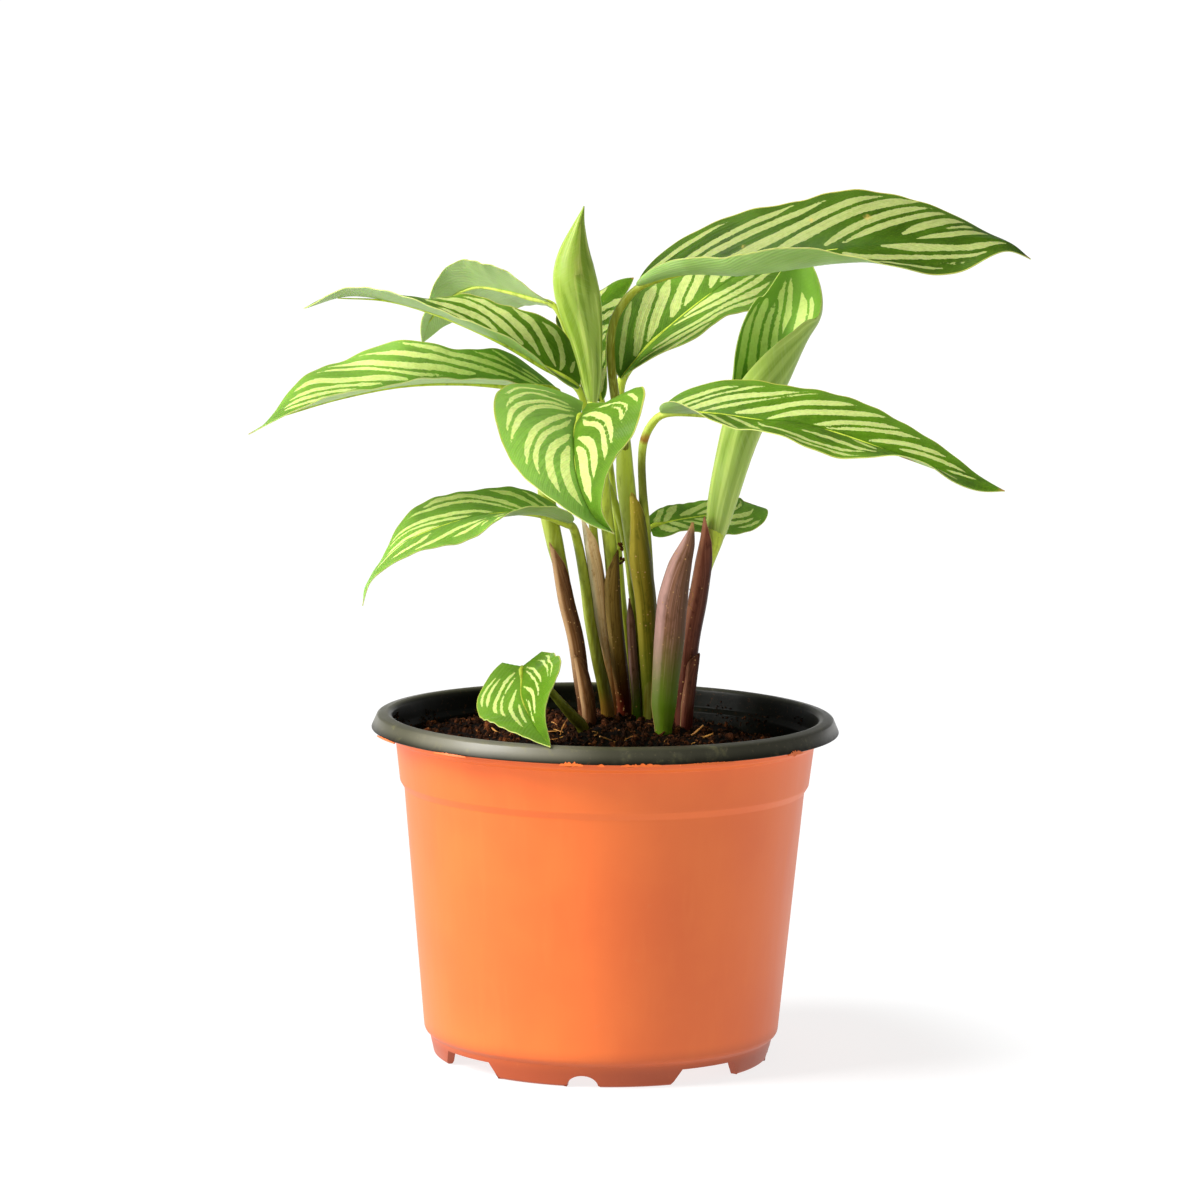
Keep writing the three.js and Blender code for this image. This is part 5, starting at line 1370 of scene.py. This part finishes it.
def tube_into(shell, tree, points, settings, finish, seed, warm=()):
    """Grows a tube along points of x, y, z and radius and adds it to a shell."""
    dense = dense_path(points)
    mesh = bpy.data.meshes.new("line")
    mesh.from_pydata((dense[:, :3] * MM).tolist(), [[i, i + 1] for i in range(len(dense) - 1)], [])
    mesh.attributes.new("thick", "FLOAT", "POINT").data.foreach_set("value", dense[:, 3] * MM)
    made = tree.grow(mesh, {"Spacing": settings.spacing, "Sides": settings.sides})
    spots = np.zeros(len(made.vertices) * 3, np.float32)
    made.vertices.foreach_get("co", spots)
    spots = spots.reshape(-1, 3) / MM
    values = np.zeros((len(spots), 3))
    run = np.zeros(len(spots), np.float32)
    made.attributes["run"].data.foreach_get("value", run)
    values[:, 0] = run
    for height, reach, strength in warm:
        near = np.clip(1.5 - 1.5 * np.abs(spots[:, 2] - height) / reach, 0, 1)
        values[:, 1] = np.where(near > 0, near * strength, values[:, 1])
    values[:, 2] = seed
    faces = [list(polygon.vertices) for polygon in made.polygons]
    # lit: how far each point faces the light, for the painted highlight and painted shade of the stalk
    # finish.
    middle = dense[np.argmin(np.linalg.norm(spots[:, None] - dense[None, :, :3], axis=2), axis=1), :3]
    away = unit(spots - middle)
    angle = math.radians(LIT_SIDE_DEG)
    lit = away[:, 0] * math.cos(angle) + away[:, 1] * math.sin(angle)
    shell.add(spots, faces, finish, {"stalk": values, "lit": lit})
    bpy.data.meshes.remove(made)
    bpy.data.meshes.remove(mesh)


def petiole_points(blade):
    """The petiole and the midrib's ridge under the blade, thinning out towards the tip."""
    if blade.get("rolled"):
        return blade["stem"]
    end = blade["stem"][-1][3]
    points, _, up, _, _ = midrib_frames(blade, np.linspace(0, 1, RIDGE_STEPS + 1))
    ridge = []
    for number, (u, thick) in enumerate(zip(RIDGE_PLACES, RIDGE_RADII)):
        if number < 2:
            thick = end * thick
        i = int(round(u * RIDGE_STEPS))
        ridge.append([*(points[i] - up[i] * (0.5 * thick + 0.12)), thick])
    return [*blade["stem"], *ridge]


def ring_frames(points, share):
    """Points, radii and two crossways directions along a stalk, without twist."""
    spots, _ = path_at(points, share)
    along = unit(np.gradient(spots[:, :3], axis=0))
    right = np.array([1.0, 0.0, 0.0])
    rights = []
    for step in along:
        right = right - step * np.dot(right, step)
        right = right / np.linalg.norm(right)
        rights.append(right)
    rights = np.array(rights)
    return spots[:, :3], spots[:, 3], rights, np.cross(along, rights)


def sheath_shell(shell, points, open_deg, closed, settings):
    """A thin sheet rolled round a stalk. It overlaps itself low down and narrows to a point at the tip."""
    rows, columns = settings.rows, settings.columns
    share = np.linspace(0, 1, rows + 1)
    if closed:
        span = np.interp(share, *CLOSED_SPAN)
    else:
        below, last = points[-2], points[-1]
        ahead = (last[2] - below[2]) / (below[2] - points[-3][2])
        points = points[:-1] + [[below[k] + ahead * (below[k] - points[-3][k]) for k in range(3)]
                                + [0.95 * below[3]]]
        span = np.interp(share, *OPEN_SPAN)
    centre, radius, right, front = ring_frames(points, share)
    thin = settings.thickness / MM
    grid = np.zeros((rows + 1, columns + 1, 3))
    values = np.zeros(grid.shape)
    lit = np.zeros(grid.shape[:2])
    for j in range(columns + 1):
        v = j / columns
        angle = np.radians(open_deg + 180 + (v - 0.5) * span)
        reach = radius + thin * OVERLAP * (v - 0.5) * np.interp(share, [0, 0.6, 1], [1, 1, 0])
        reach = np.maximum(reach - 0.3 * thin, 0.15)
        reach = reach + 0.05 * np.sin(v * 61)
        grid[:, j] = centre + right * (reach * np.cos(angle))[:, None]
        grid[:, j] += front * (reach * np.sin(angle))[:, None]
        # lit: how far this side faces the light, for the painted highlight and painted shade of the sheath
        # finish.
        lit[:, j] = np.cos(angle - math.radians(LIT_SIDE_DEG))
        values[:, j, 0] = share
        values[:, j, 1] = v
        values[:, j, 2] = np.clip(1 - min(v, 1 - v) * 30, 0, 1)
    inner = grid - grid_normals(grid) * thin
    shell.add(np.concatenate([grid.reshape(-1, 3), inner.reshape(-1, 3)]),
              np.concatenate(sheet_faces(rows, columns)), 0, {"sheet": twice(values), "lit": twice(lit)})


def rounded(profile, radius=0.35, steps=3):
    """A turned profile with its corners rounded. Points on the axis stay."""
    rows = np.array(profile, float)
    out = [rows[0]]
    for before, corner, after in zip(rows[:-2], rows[1:-1], rows[2:]):
        back, ahead = before - corner, after - corner
        cut = min(radius, 0.45 * np.linalg.norm(back), 0.45 * np.linalg.norm(ahead))
        start = corner + back / np.linalg.norm(back) * cut
        end = corner + ahead / np.linalg.norm(ahead) * cut
        for i in range(steps + 1):
            t = i / steps
            out.append(start * (1 - t) ** 2 + 2 * corner * t * (1 - t) + end * t * t)
    out.append(rows[-1])
    return np.array(out)


def turned_shell(shell, profile, angles, finish, reshape=None):
    """Turns a profile round the pot's axis. reshape may move the profile's points at each angle."""
    columns = []
    for angle in angles:
        held = profile[1:-1].copy()
        if reshape:
            held = reshape(held, angle)
        spots = np.stack([held[:, 0] * math.sin(angle), -held[:, 0] * math.cos(angle), held[:, 1]], axis=1)
        columns.append(spots)
    count, tall = len(columns), len(columns[0])
    points = np.concatenate([*columns, [[0, 0, profile[0][1]], [0, 0, profile[-1][1]]]])
    faces = []
    for k in range(count):
        following = (k + 1) % count
        here, there = k * tall, following * tall
        faces.append([count * tall, there, here])
        faces.append([count * tall + 1, here + tall - 1, there + tall - 1])
        for i in range(tall - 1):
            faces.append([here + i, there + i, there + i + 1, here + i + 1])
    shell.add(points, faces, finish)


def foot_cut(angle):
    """Height to which the ring of feet is cut away at an angle from the front, towards the right."""
    turn = 360 / FOOT_COUNT
    degrees = math.degrees(angle) - FOOT_TURN_DEG
    from_middle = (degrees + turn / 2) % turn - turn / 2
    from_gap = turn / 2 - abs(from_middle)
    height = np.interp(from_gap, [FOOT_GAP_HIGH_DEG, FOOT_GAP_LOW_DEG], [FOOT_GAP_HEIGHT, 0])
    sideways = FOOT_RADIUS * math.sin(math.radians(from_middle)) / NOTCH_HALF_WIDTH
    if abs(sideways) < 1:
        height = max(height, NOTCH_HEIGHT * math.sqrt(1 - sideways * sideways))
    return float(height)


def pot_angles(segments):
    """Even angles round the pot, with the exact corners of every foot and notch between them."""
    degrees = [360 * k / segments for k in range(segments)]
    turn = 360 / FOOT_COUNT
    notch = math.degrees(math.asin(NOTCH_HALF_WIDTH / FOOT_RADIUS))
    for foot in range(FOOT_COUNT):
        middle = FOOT_TURN_DEG + foot * turn
        for share in (1, 0.99, 0.96, 0.9, 0.8, 0.66, 0.5, 0.3, 0.1):
            degrees += [middle - notch * share, middle + notch * share]
        for edge in (FOOT_GAP_LOW_DEG, FOOT_GAP_HIGH_DEG):
            degrees += [middle + turn / 2 - edge, middle + turn / 2 + edge]
    kept = []
    for value in sorted(value % 360 for value in degrees):
        if not kept or value - kept[-1] > 0.12:
            kept.append(value)
    return [math.radians(value) for value in kept]


def torn_drop(angle):
    """How far the torn edge hangs down at an angle from the front."""
    degrees = (math.degrees(angle) + 180) % 360 - 180
    drop = 0.0
    for middle, half, depth in TORN_EDGES:
        share = max(0.0, 1 - abs(degrees - middle) / half)
        ragged = 0.5 + 0.5 * noise.noise(Vector((degrees * 1.9, middle, 0.3)))
        drop = max(drop, depth * min(1, share * 2.5) * ragged * 1.5)
    return drop


def cut_feet(held, angle):
    """The outer layer's profile at an angle, with the feet cut out of its foot and its edge torn."""
    height = foot_cut(angle)
    low = held[:, 1] < height
    inner = held[:, 0] < FOOT_MIDDLE_RADIUS
    held[low & inner, 0] = np.interp(height, *FOOT_INNER_FACE)
    held[low & ~inner, 0] = np.interp(height, *FOOT_OUTER_FACE)
    held[low, 1] = height
    edge = (held[:, 0] > EDGE_RADIUS) & (held[:, 1] < EDGE_TOP_Z)
    held[edge, 1] -= torn_drop(angle)
    return held


def torn_strip(shell, middle, half, rise):
    """A ragged edge of orange plastic that laps over the lower edge of the black rim."""
    steps = max(4, int(half * 6))
    points = []
    for i in range(steps + 1):
        degrees = middle + half * (2 * i / steps - 1)
        ragged = 0.5 + 0.9 * noise.noise(Vector((degrees * 2.3, middle, 5.1)))
        top = TORN_TOP + rise * max(0.1, ragged) * min(1, 3 * min(i, steps - i) / steps)
        angle = math.radians(degrees)
        slope = (top - TORN_TOP - 0.1) * TORN_SLOPE
        reaches = [*TORN_RADII[:2], TORN_RADII[2] - slope, TORN_RADII[3] - slope]
        heights = [TORN_FOOT, TORN_FOOT + 0.1, top, top - 0.1]
        for reach, z in zip(reaches, heights):
            points.append((reach * math.sin(angle), -reach * math.cos(angle), z))
    faces = [[3, 2, 1, 0], [4 * steps + k for k in range(4)]]
    for i in range(steps):
        for k in range(4):
            a, b = 4 * i + k, 4 * i + (k + 1) % 4
            faces.append([a, b, b + 4, a + 4])
    shell.add(np.array(points), faces, 0)


def soil_height(x, y):
    """Height of the soil's smooth top with its mound and hollow."""
    height = SOIL_EDGE_Z
    for cx, cy, rise, spread in (SOIL_MOUND, SOIL_HOLLOW):
        height += rise * math.exp(-((x - cx) ** 2 + (y - cy) ** 2) / (2 * spread * spread))
    return height + 0.7 * math.sin(0.31 * x + 1) * math.cos(0.27 * y) + 0.5 * math.sin(0.17 * x - 0.21 * y)


def lining_radius(z):
    """Radius of the lining's inner face at a height."""
    return float(np.interp(z, LINING_FACE_Z, LINING_FACE_RADIUS)) - 0.2


def dirty_wall():
    """Patches of the pot's inner wall that crumbs of soil stick to, mostly on the left and the right."""
    points, faces = [], []
    for k in range(WALL_STEPS):
        angle = 2 * math.pi * k / WALL_STEPS
        for z in WALL_LEVELS:
            reach = lining_radius(z) * MM
            points.append((reach * math.cos(angle) + POT_AXIS_X, reach * math.sin(angle), z * MM))
        for i, z in enumerate(WALL_LEVELS[:-1]):
            patchy = noise.noise(Vector((math.cos(angle) * 6, math.sin(angle) * 6, z * 0.3)))
            sideways = 0.3 * abs(math.cos(angle)) - 0.25 * math.cos(angle) - 0.1 * i
            if patchy + sideways > 0.15:
                a, b = k * len(WALL_LEVELS) + i, (k + 1) % WALL_STEPS * len(WALL_LEVELS) + i
                faces.append([a, a + 1, b + 1, b])
    mesh = bpy.data.meshes.new("dirty_wall")
    mesh.from_pydata(points, [], faces)
    return mesh


def clinging_spots():
    """Small upright patches in the middle of the clump that crumbs of soil stick to."""
    points, faces = [], []
    for x, y, z, half in CLINGING:
        first = len(points)
        for side, rise in ((-1, 1), (-0.6, -1), (0.8, -0.7), (0.9, 0.6)):
            points.append(((x + side * half * 0.7) * MM + POT_AXIS_X, y * MM, (z + rise * half) * MM))
        faces.append([first, first + 1, first + 2, first + 3])
    mesh = bpy.data.meshes.new("clinging_spots")
    mesh.from_pydata(points, [], faces)
    return mesh


def soil_spot(x, y):
    """A point of the soil's rough top."""
    rough = 0.0
    for height, share, seed in SOIL_LUMPS:
        rough += height * noise.noise(Vector((x * share, y * share, seed)))
    return (x, y, soil_height(x, y) + rough)


def soil_body():
    """Points and faces of the potting mix: the rings of its rough top, its lower edge and its foot."""
    turns = [2 * math.pi * k / SOIL_SPOKES for k in range(SOIL_SPOKES)]
    points = [soil_spot(0, 0)]
    for ring in range(1, SOIL_RINGS + 1):
        reach = SOIL_RADIUS * ring / SOIL_RINGS
        points += [soil_spot(reach * math.cos(turn), reach * math.sin(turn)) for turn in turns]
    points += [(SOIL_FOOT_RADIUS * math.cos(turn), SOIL_FOOT_RADIUS * math.sin(turn), SOIL_FOOT_Z)
               for turn in turns]
    points.append((0, 0, SOIL_FOOT_Z))
    faces = []
    for k in range(SOIL_SPOKES):
        following = (k + 1) % SOIL_SPOKES
        faces.append([0, 1 + k, 1 + following])
        for ring in range(SOIL_RINGS):
            low, high = 1 + ring * SOIL_SPOKES, 1 + (ring + 1) * SOIL_SPOKES
            faces.append([low + k, high + k, high + following, low + following])
        last = 1 + SOIL_RINGS * SOIL_SPOKES
        faces.append([last + k, len(points) - 1, last + following])
    return np.array(points), faces


def soil_patch(name, points, faces, rings):
    """The soil's top within a number of rings, as a plain mesh that bits are scattered on."""
    mesh = bpy.data.meshes.new(name)
    mesh.from_pydata([tuple(c) for c in (points * MM + [POT_AXIS_X, 0, 0])], [],
                     [face for face in faces if max(face) <= rings * SOIL_SPOKES])
    return mesh


def crumb_tree(material, seed_offset):
    """Small lumps scattered on the soil, each turned and stretched its own way."""
    tree = Tree("Crumbs", SCATTER_SIZES)
    places = tree.scatter()
    lump = tree.node("GeometryNodeMeshIcoSphere", values={"Radius": 1.0, "Subdivisions": 1})
    turn = tree.node("FunctionNodeRandomValue", {"data_type": "FLOAT_VECTOR"},
                     {0: (0, 0, 0), 1: (6.28, 6.28, 6.28), "Seed": seed_offset})
    stretch = tree.node("FunctionNodeRandomValue", {"data_type": "FLOAT_VECTOR"},
                        {0: (0.5, 0.35, 0.25), 1: (1.7, 1.2, 0.9), "Seed": seed_offset + 1})
    scale = tree.node("ShaderNodeVectorMath", {"operation": "SCALE"},
                      {0: stretch, "Scale": tree.input("Size")})
    lumps = tree.node("GeometryNodeInstanceOnPoints",
                      values={"Points": places, "Instance": lump, "Rotation": turn, "Scale": scale})
    tree.close(lumps, material)
    return tree


def fibre_tree(material):
    """Short bent fibres lying on the soil."""
    tree = Tree("Fibres", SCATTER_SIZES)
    places = tree.scatter()
    arc = tree.node("GeometryNodeCurveArc", values={"Resolution": 7, "Radius": 1.0, "Sweep Angle": 1.3})
    ring = tree.node("GeometryNodeCurvePrimitiveCircle", values={"Resolution": 4, "Radius": 0.045})
    strand = tree.node("GeometryNodeCurveToMesh",
                       values={"Curve": arc, "Profile Curve": ring, "Fill Caps": True})
    turn = tree.node("FunctionNodeRandomValue", {"data_type": "FLOAT_VECTOR"},
                     {0: (-0.5, -0.5, 0), 1: (0.5, 0.5, 6.28), "Seed": 11})
    long = tree.node("FunctionNodeRandomValue", {"data_type": "FLOAT"}, {2: 0.4, 3: 1.6, "Seed": 12}, 1)
    size = tree.node("ShaderNodeMath", {"operation": "MULTIPLY"}, {0: long, 1: tree.input("Size")})
    strands = tree.node("GeometryNodeInstanceOnPoints",
                        values={"Points": places, "Instance": strand, "Rotation": turn, "Scale": size})
    tree.close(strands, material)
    return tree


class CALATHEA_OT_fronds(bpy.types.Operator):
    """Builds every blade on its petiole"""
    bl_idname = "calathea.fronds"
    bl_label = "Fronds"

    def execute(self, context):
        leaf = context.scene.calathea_leaf
        stalk = context.scene.calathea_stalk
        finishes = [upper_leaf_finish(leaf), under_leaf_finish(leaf), stalk_finish(stalk)]
        tree = tube_tree(finishes[2])
        shells = {}
        for number, blade in enumerate(BLADES):
            node = blade["node"]
            if node not in shells:
                shells[node] = Shell(vectors=("blade", "leaf_age", "stalk"), numbers=("bar", "tone", "lit"))
            blade_shell(shells[node], blade, number, leaf)
            tube_into(shells[node], tree, petiole_points(blade), stalk, 2, number * 0.1,
                      WARM_PLACES.get(node, ()))
        for node, shell in shells.items():
            dress(shell.finish(node + "_dressed", finishes), SLOTS.get(node, "leaf"), node)
        return {"FINISHED"}


class CALATHEA_OT_sheaths(bpy.types.Operator):
    """Builds the papery sheaths and the closed shoots"""
    bl_idname = "calathea.sheaths"
    bl_label = "Sheaths"

    def execute(self, context):
        settings = context.scene.calathea_sheath
        finishes = {look: sheath_finish(look) for look in SHEATH_LOOKS}
        for node, (points, open_deg, look) in SHEATHS.items():
            shell = Shell(vectors=("sheet",), numbers=("lit",))
            sheath_shell(shell, points, open_deg, look == "pink", settings)
            piece = shell.finish(node + "_dressed", [finishes[look]])
            dress(piece, SLOTS.get(node, "brown_sheath"), node)
        return {"FINISHED"}


class CALATHEA_OT_soil(bpy.types.Operator):
    """Builds the potting mix with its crumbs and fibres"""
    bl_idname = "calathea.soil"
    bl_label = "Soil"

    def execute(self, context):
        settings = context.scene.calathea_soil
        points, faces = soil_body()
        ground = Shell()
        ground.add(points, faces, 0)
        finish = soil_finish("soil", settings.color, tint("soil_bits"))
        dress(ground.finish("soil_ground", [finish], 80), "soil", "soil")
        top = soil_patch("soil_top", points, faces, SOIL_RINGS)
        middle = soil_patch("soil_middle", points, faces, FIBRE_RINGS)
        crumb = soil_finish("soil_crumb", tint("crumb"), tint("crumb_bits"))
        chunk = soil_finish("soil_chunk", tint("chunk"), tint("chunk_bits"))
        clod = soil_finish("stalk_crumb", tint("clod"), tint("clod_bits"))
        fibre = fibre_finish()
        scatters = [
            ("soil_crumbs", top, crumb_tree(crumb, 3), (settings.crumbs, settings.crumb_size, 0)),
            ("soil_chunks", top, crumb_tree(chunk, 12), CHUNKS),
            ("wall_crumbs", dirty_wall(), crumb_tree(crumb, 8), WALL_CRUMBS),
            ("stalk_crumbs", clinging_spots(), crumb_tree(clod, 21), STALK_CRUMBS),
            ("soil_fibres", middle, fibre_tree(fibre), FIBRES),
        ]
        for name, place, tree, (density, size, offset) in scatters:
            made = tree.grow(place, {"Density": density, "Size": size, "Seed": settings.seed + offset})
            made.name = name
            dress(add_piece(name, made), "soil")
        straws = Shell(vectors=("stalk",), numbers=("lit",))
        tree = tube_tree(fibre)
        for k, points in enumerate(STRAWS):
            tube_into(straws, tree, points, context.scene.calathea_stalk, 0, k * 0.1)
        dress(straws.finish("plant_straws", [fibre]), "soil")
        return {"FINISHED"}


class CALATHEA_OT_pot(bpy.types.Operator):
    """Builds the two layers of the pot"""
    bl_idname = "calathea.pot"
    bl_label = "Pot"

    def execute(self, context):
        settings = context.scene.calathea_pot
        angles = pot_angles(settings.segments)
        outer = Shell()
        turned_shell(outer, rounded(OUTER_PROFILE), angles, 0, cut_feet)
        for middle, half, rise in TORN_EDGES:
            torn_strip(outer, middle, half, rise)
        dress(outer.finish("pot_outer_dressed", [pot_outer_finish(settings)], 40), "terracotta_plastic",
              "pot_outer")
        lining = Shell()
        turned_shell(lining, rounded(LINING_PROFILE), angles, 0)
        dress(lining.finish("pot_lining_dressed", [pot_lining_finish(settings)], 40), "black_plastic",
              "pot_lining")
        return {"FINISHED"}


def floor_mesh(radius):
    """A round floor with a low backdrop that rises from its edge."""
    turns = [2 * math.pi * k / FLOOR_STEPS for k in range(FLOOR_STEPS)]
    points = [(0, 0, FLOOR_Z)]
    for z in (FLOOR_Z, BACKDROP_HEIGHT):
        points += [(radius * math.cos(turn), radius * math.sin(turn), z) for turn in turns]
    pairs = [(1 + k, 1 + (k + 1) % FLOOR_STEPS) for k in range(FLOOR_STEPS)]
    faces = [[0, here, there] for here, there in pairs]
    faces += [[here, there, there + FLOOR_STEPS, here + FLOOR_STEPS] for here, there in pairs]
    mesh = bpy.data.meshes.new("floor")
    mesh.from_pydata(points, [], faces)
    mesh.materials.append(floor_finish())
    return mesh


def add_camera():
    """A camera that looks at the plant from the front, a little from above."""
    pitch = math.radians(CAMERA_PITCH_DEG)
    roll = math.radians(CAMERA_ROLL_DEG)
    ahead = Vector((0, math.cos(pitch), -math.sin(pitch)))
    right = Vector((1, 0, 0))
    up = right.cross(ahead)
    turned_right = right * math.cos(roll) + up * math.sin(roll)
    turned_up = up * math.cos(roll) - right * math.sin(roll)
    lens = bpy.data.cameras.new("camera")
    lens.lens = CAMERA_LENS
    lens.sensor_width = CAMERA_SENSOR
    lens.clip_start, lens.clip_end = CAMERA_CLIP
    camera = add_piece("camera", lens)
    turn = Matrix((turned_right, turned_up, -ahead)).transposed().to_4x4()
    camera.matrix_world = Matrix.Translation(CAMERA_PLACE) @ turn
    return camera


class CALATHEA_OT_stage(bpy.types.Operator):
    """Adds the pale floor, the soft light and the camera"""
    bl_idname = "calathea.stage"
    bl_label = "Stage"

    def execute(self, context):
        settings = context.scene.calathea_stage
        scene = context.scene
        scene.view_settings.view_transform = "Standard"
        if settings.show_floor:
            mesh = floor_mesh(settings.floor_radius)
            add_piece("floor", mesh)
        world = bpy.data.worlds.new("pale_surroundings")
        world.use_nodes = True
        sky = world.node_tree.nodes["Background"].inputs
        sky["Color"].default_value = (1, 1, 1, 1)
        sky["Strength"].default_value = settings.ambient
        scene.world = world
        for name, (spread_deg, heading) in LIGHTS.items():
            light = bpy.data.lights.new(name, "SUN")
            light.energy = getattr(settings, name)
            light.angle = math.radians(spread_deg)
            lamp = add_piece(name, light)
            lamp.rotation_euler = Vector(heading).to_track_quat("-Z", "Y").to_euler()
        scene.camera = add_camera()
        return {"FINISHED"}


class CALATHEA_PT_panel(bpy.types.Panel):
    bl_label = "Potted calathea"
    bl_idname = "CALATHEA_PT_panel"
    bl_space_type = "VIEW_3D"
    bl_region_type = "UI"
    bl_category = "Calathea"

    def draw(self, context):
        for name, (kind, operator) in SETTINGS.items():
            box = self.layout.box()
            settings = getattr(context.scene, name)
            for key in kind.__annotations__:
                box.prop(settings, key)
            box.operator(operator)


# Each group of settings with the operator that it is for.
SETTINGS = {
    "calathea_leaf": (CalatheaLeafSettings, "calathea.fronds"),
    "calathea_stalk": (CalatheaStalkSettings, "calathea.fronds"),
    "calathea_sheath": (CalatheaSheathSettings, "calathea.sheaths"),
    "calathea_pot": (CalatheaPotSettings, "calathea.pot"),
    "calathea_soil": (CalatheaSoilSettings, "calathea.soil"),
    "calathea_stage": (CalatheaStageSettings, "calathea.stage"),
}
CLASSES = [kind for kind, _ in SETTINGS.values()]
CLASSES += [CALATHEA_OT_stage, CALATHEA_OT_pot, CALATHEA_OT_soil, CALATHEA_OT_sheaths, CALATHEA_OT_fronds]
CLASSES.append(CALATHEA_PT_panel)


def register():
    for kind in CLASSES:
        bpy.utils.register_class(kind)
    for name, (kind, _) in SETTINGS.items():
        setattr(bpy.types.Scene, name, PointerProperty(type=kind))


def unregister():
    for name in SETTINGS:
        delattr(bpy.types.Scene, name)
    for kind in reversed(CLASSES):
        bpy.utils.unregister_class(kind)


def main():
    """Builds everything."""
    register()
    bpy.ops.calathea.stage()
    bpy.ops.calathea.pot()
    bpy.ops.calathea.soil()
    bpy.ops.calathea.sheaths()
    bpy.ops.calathea.fronds()


if __name__ == "__main__":
    main()
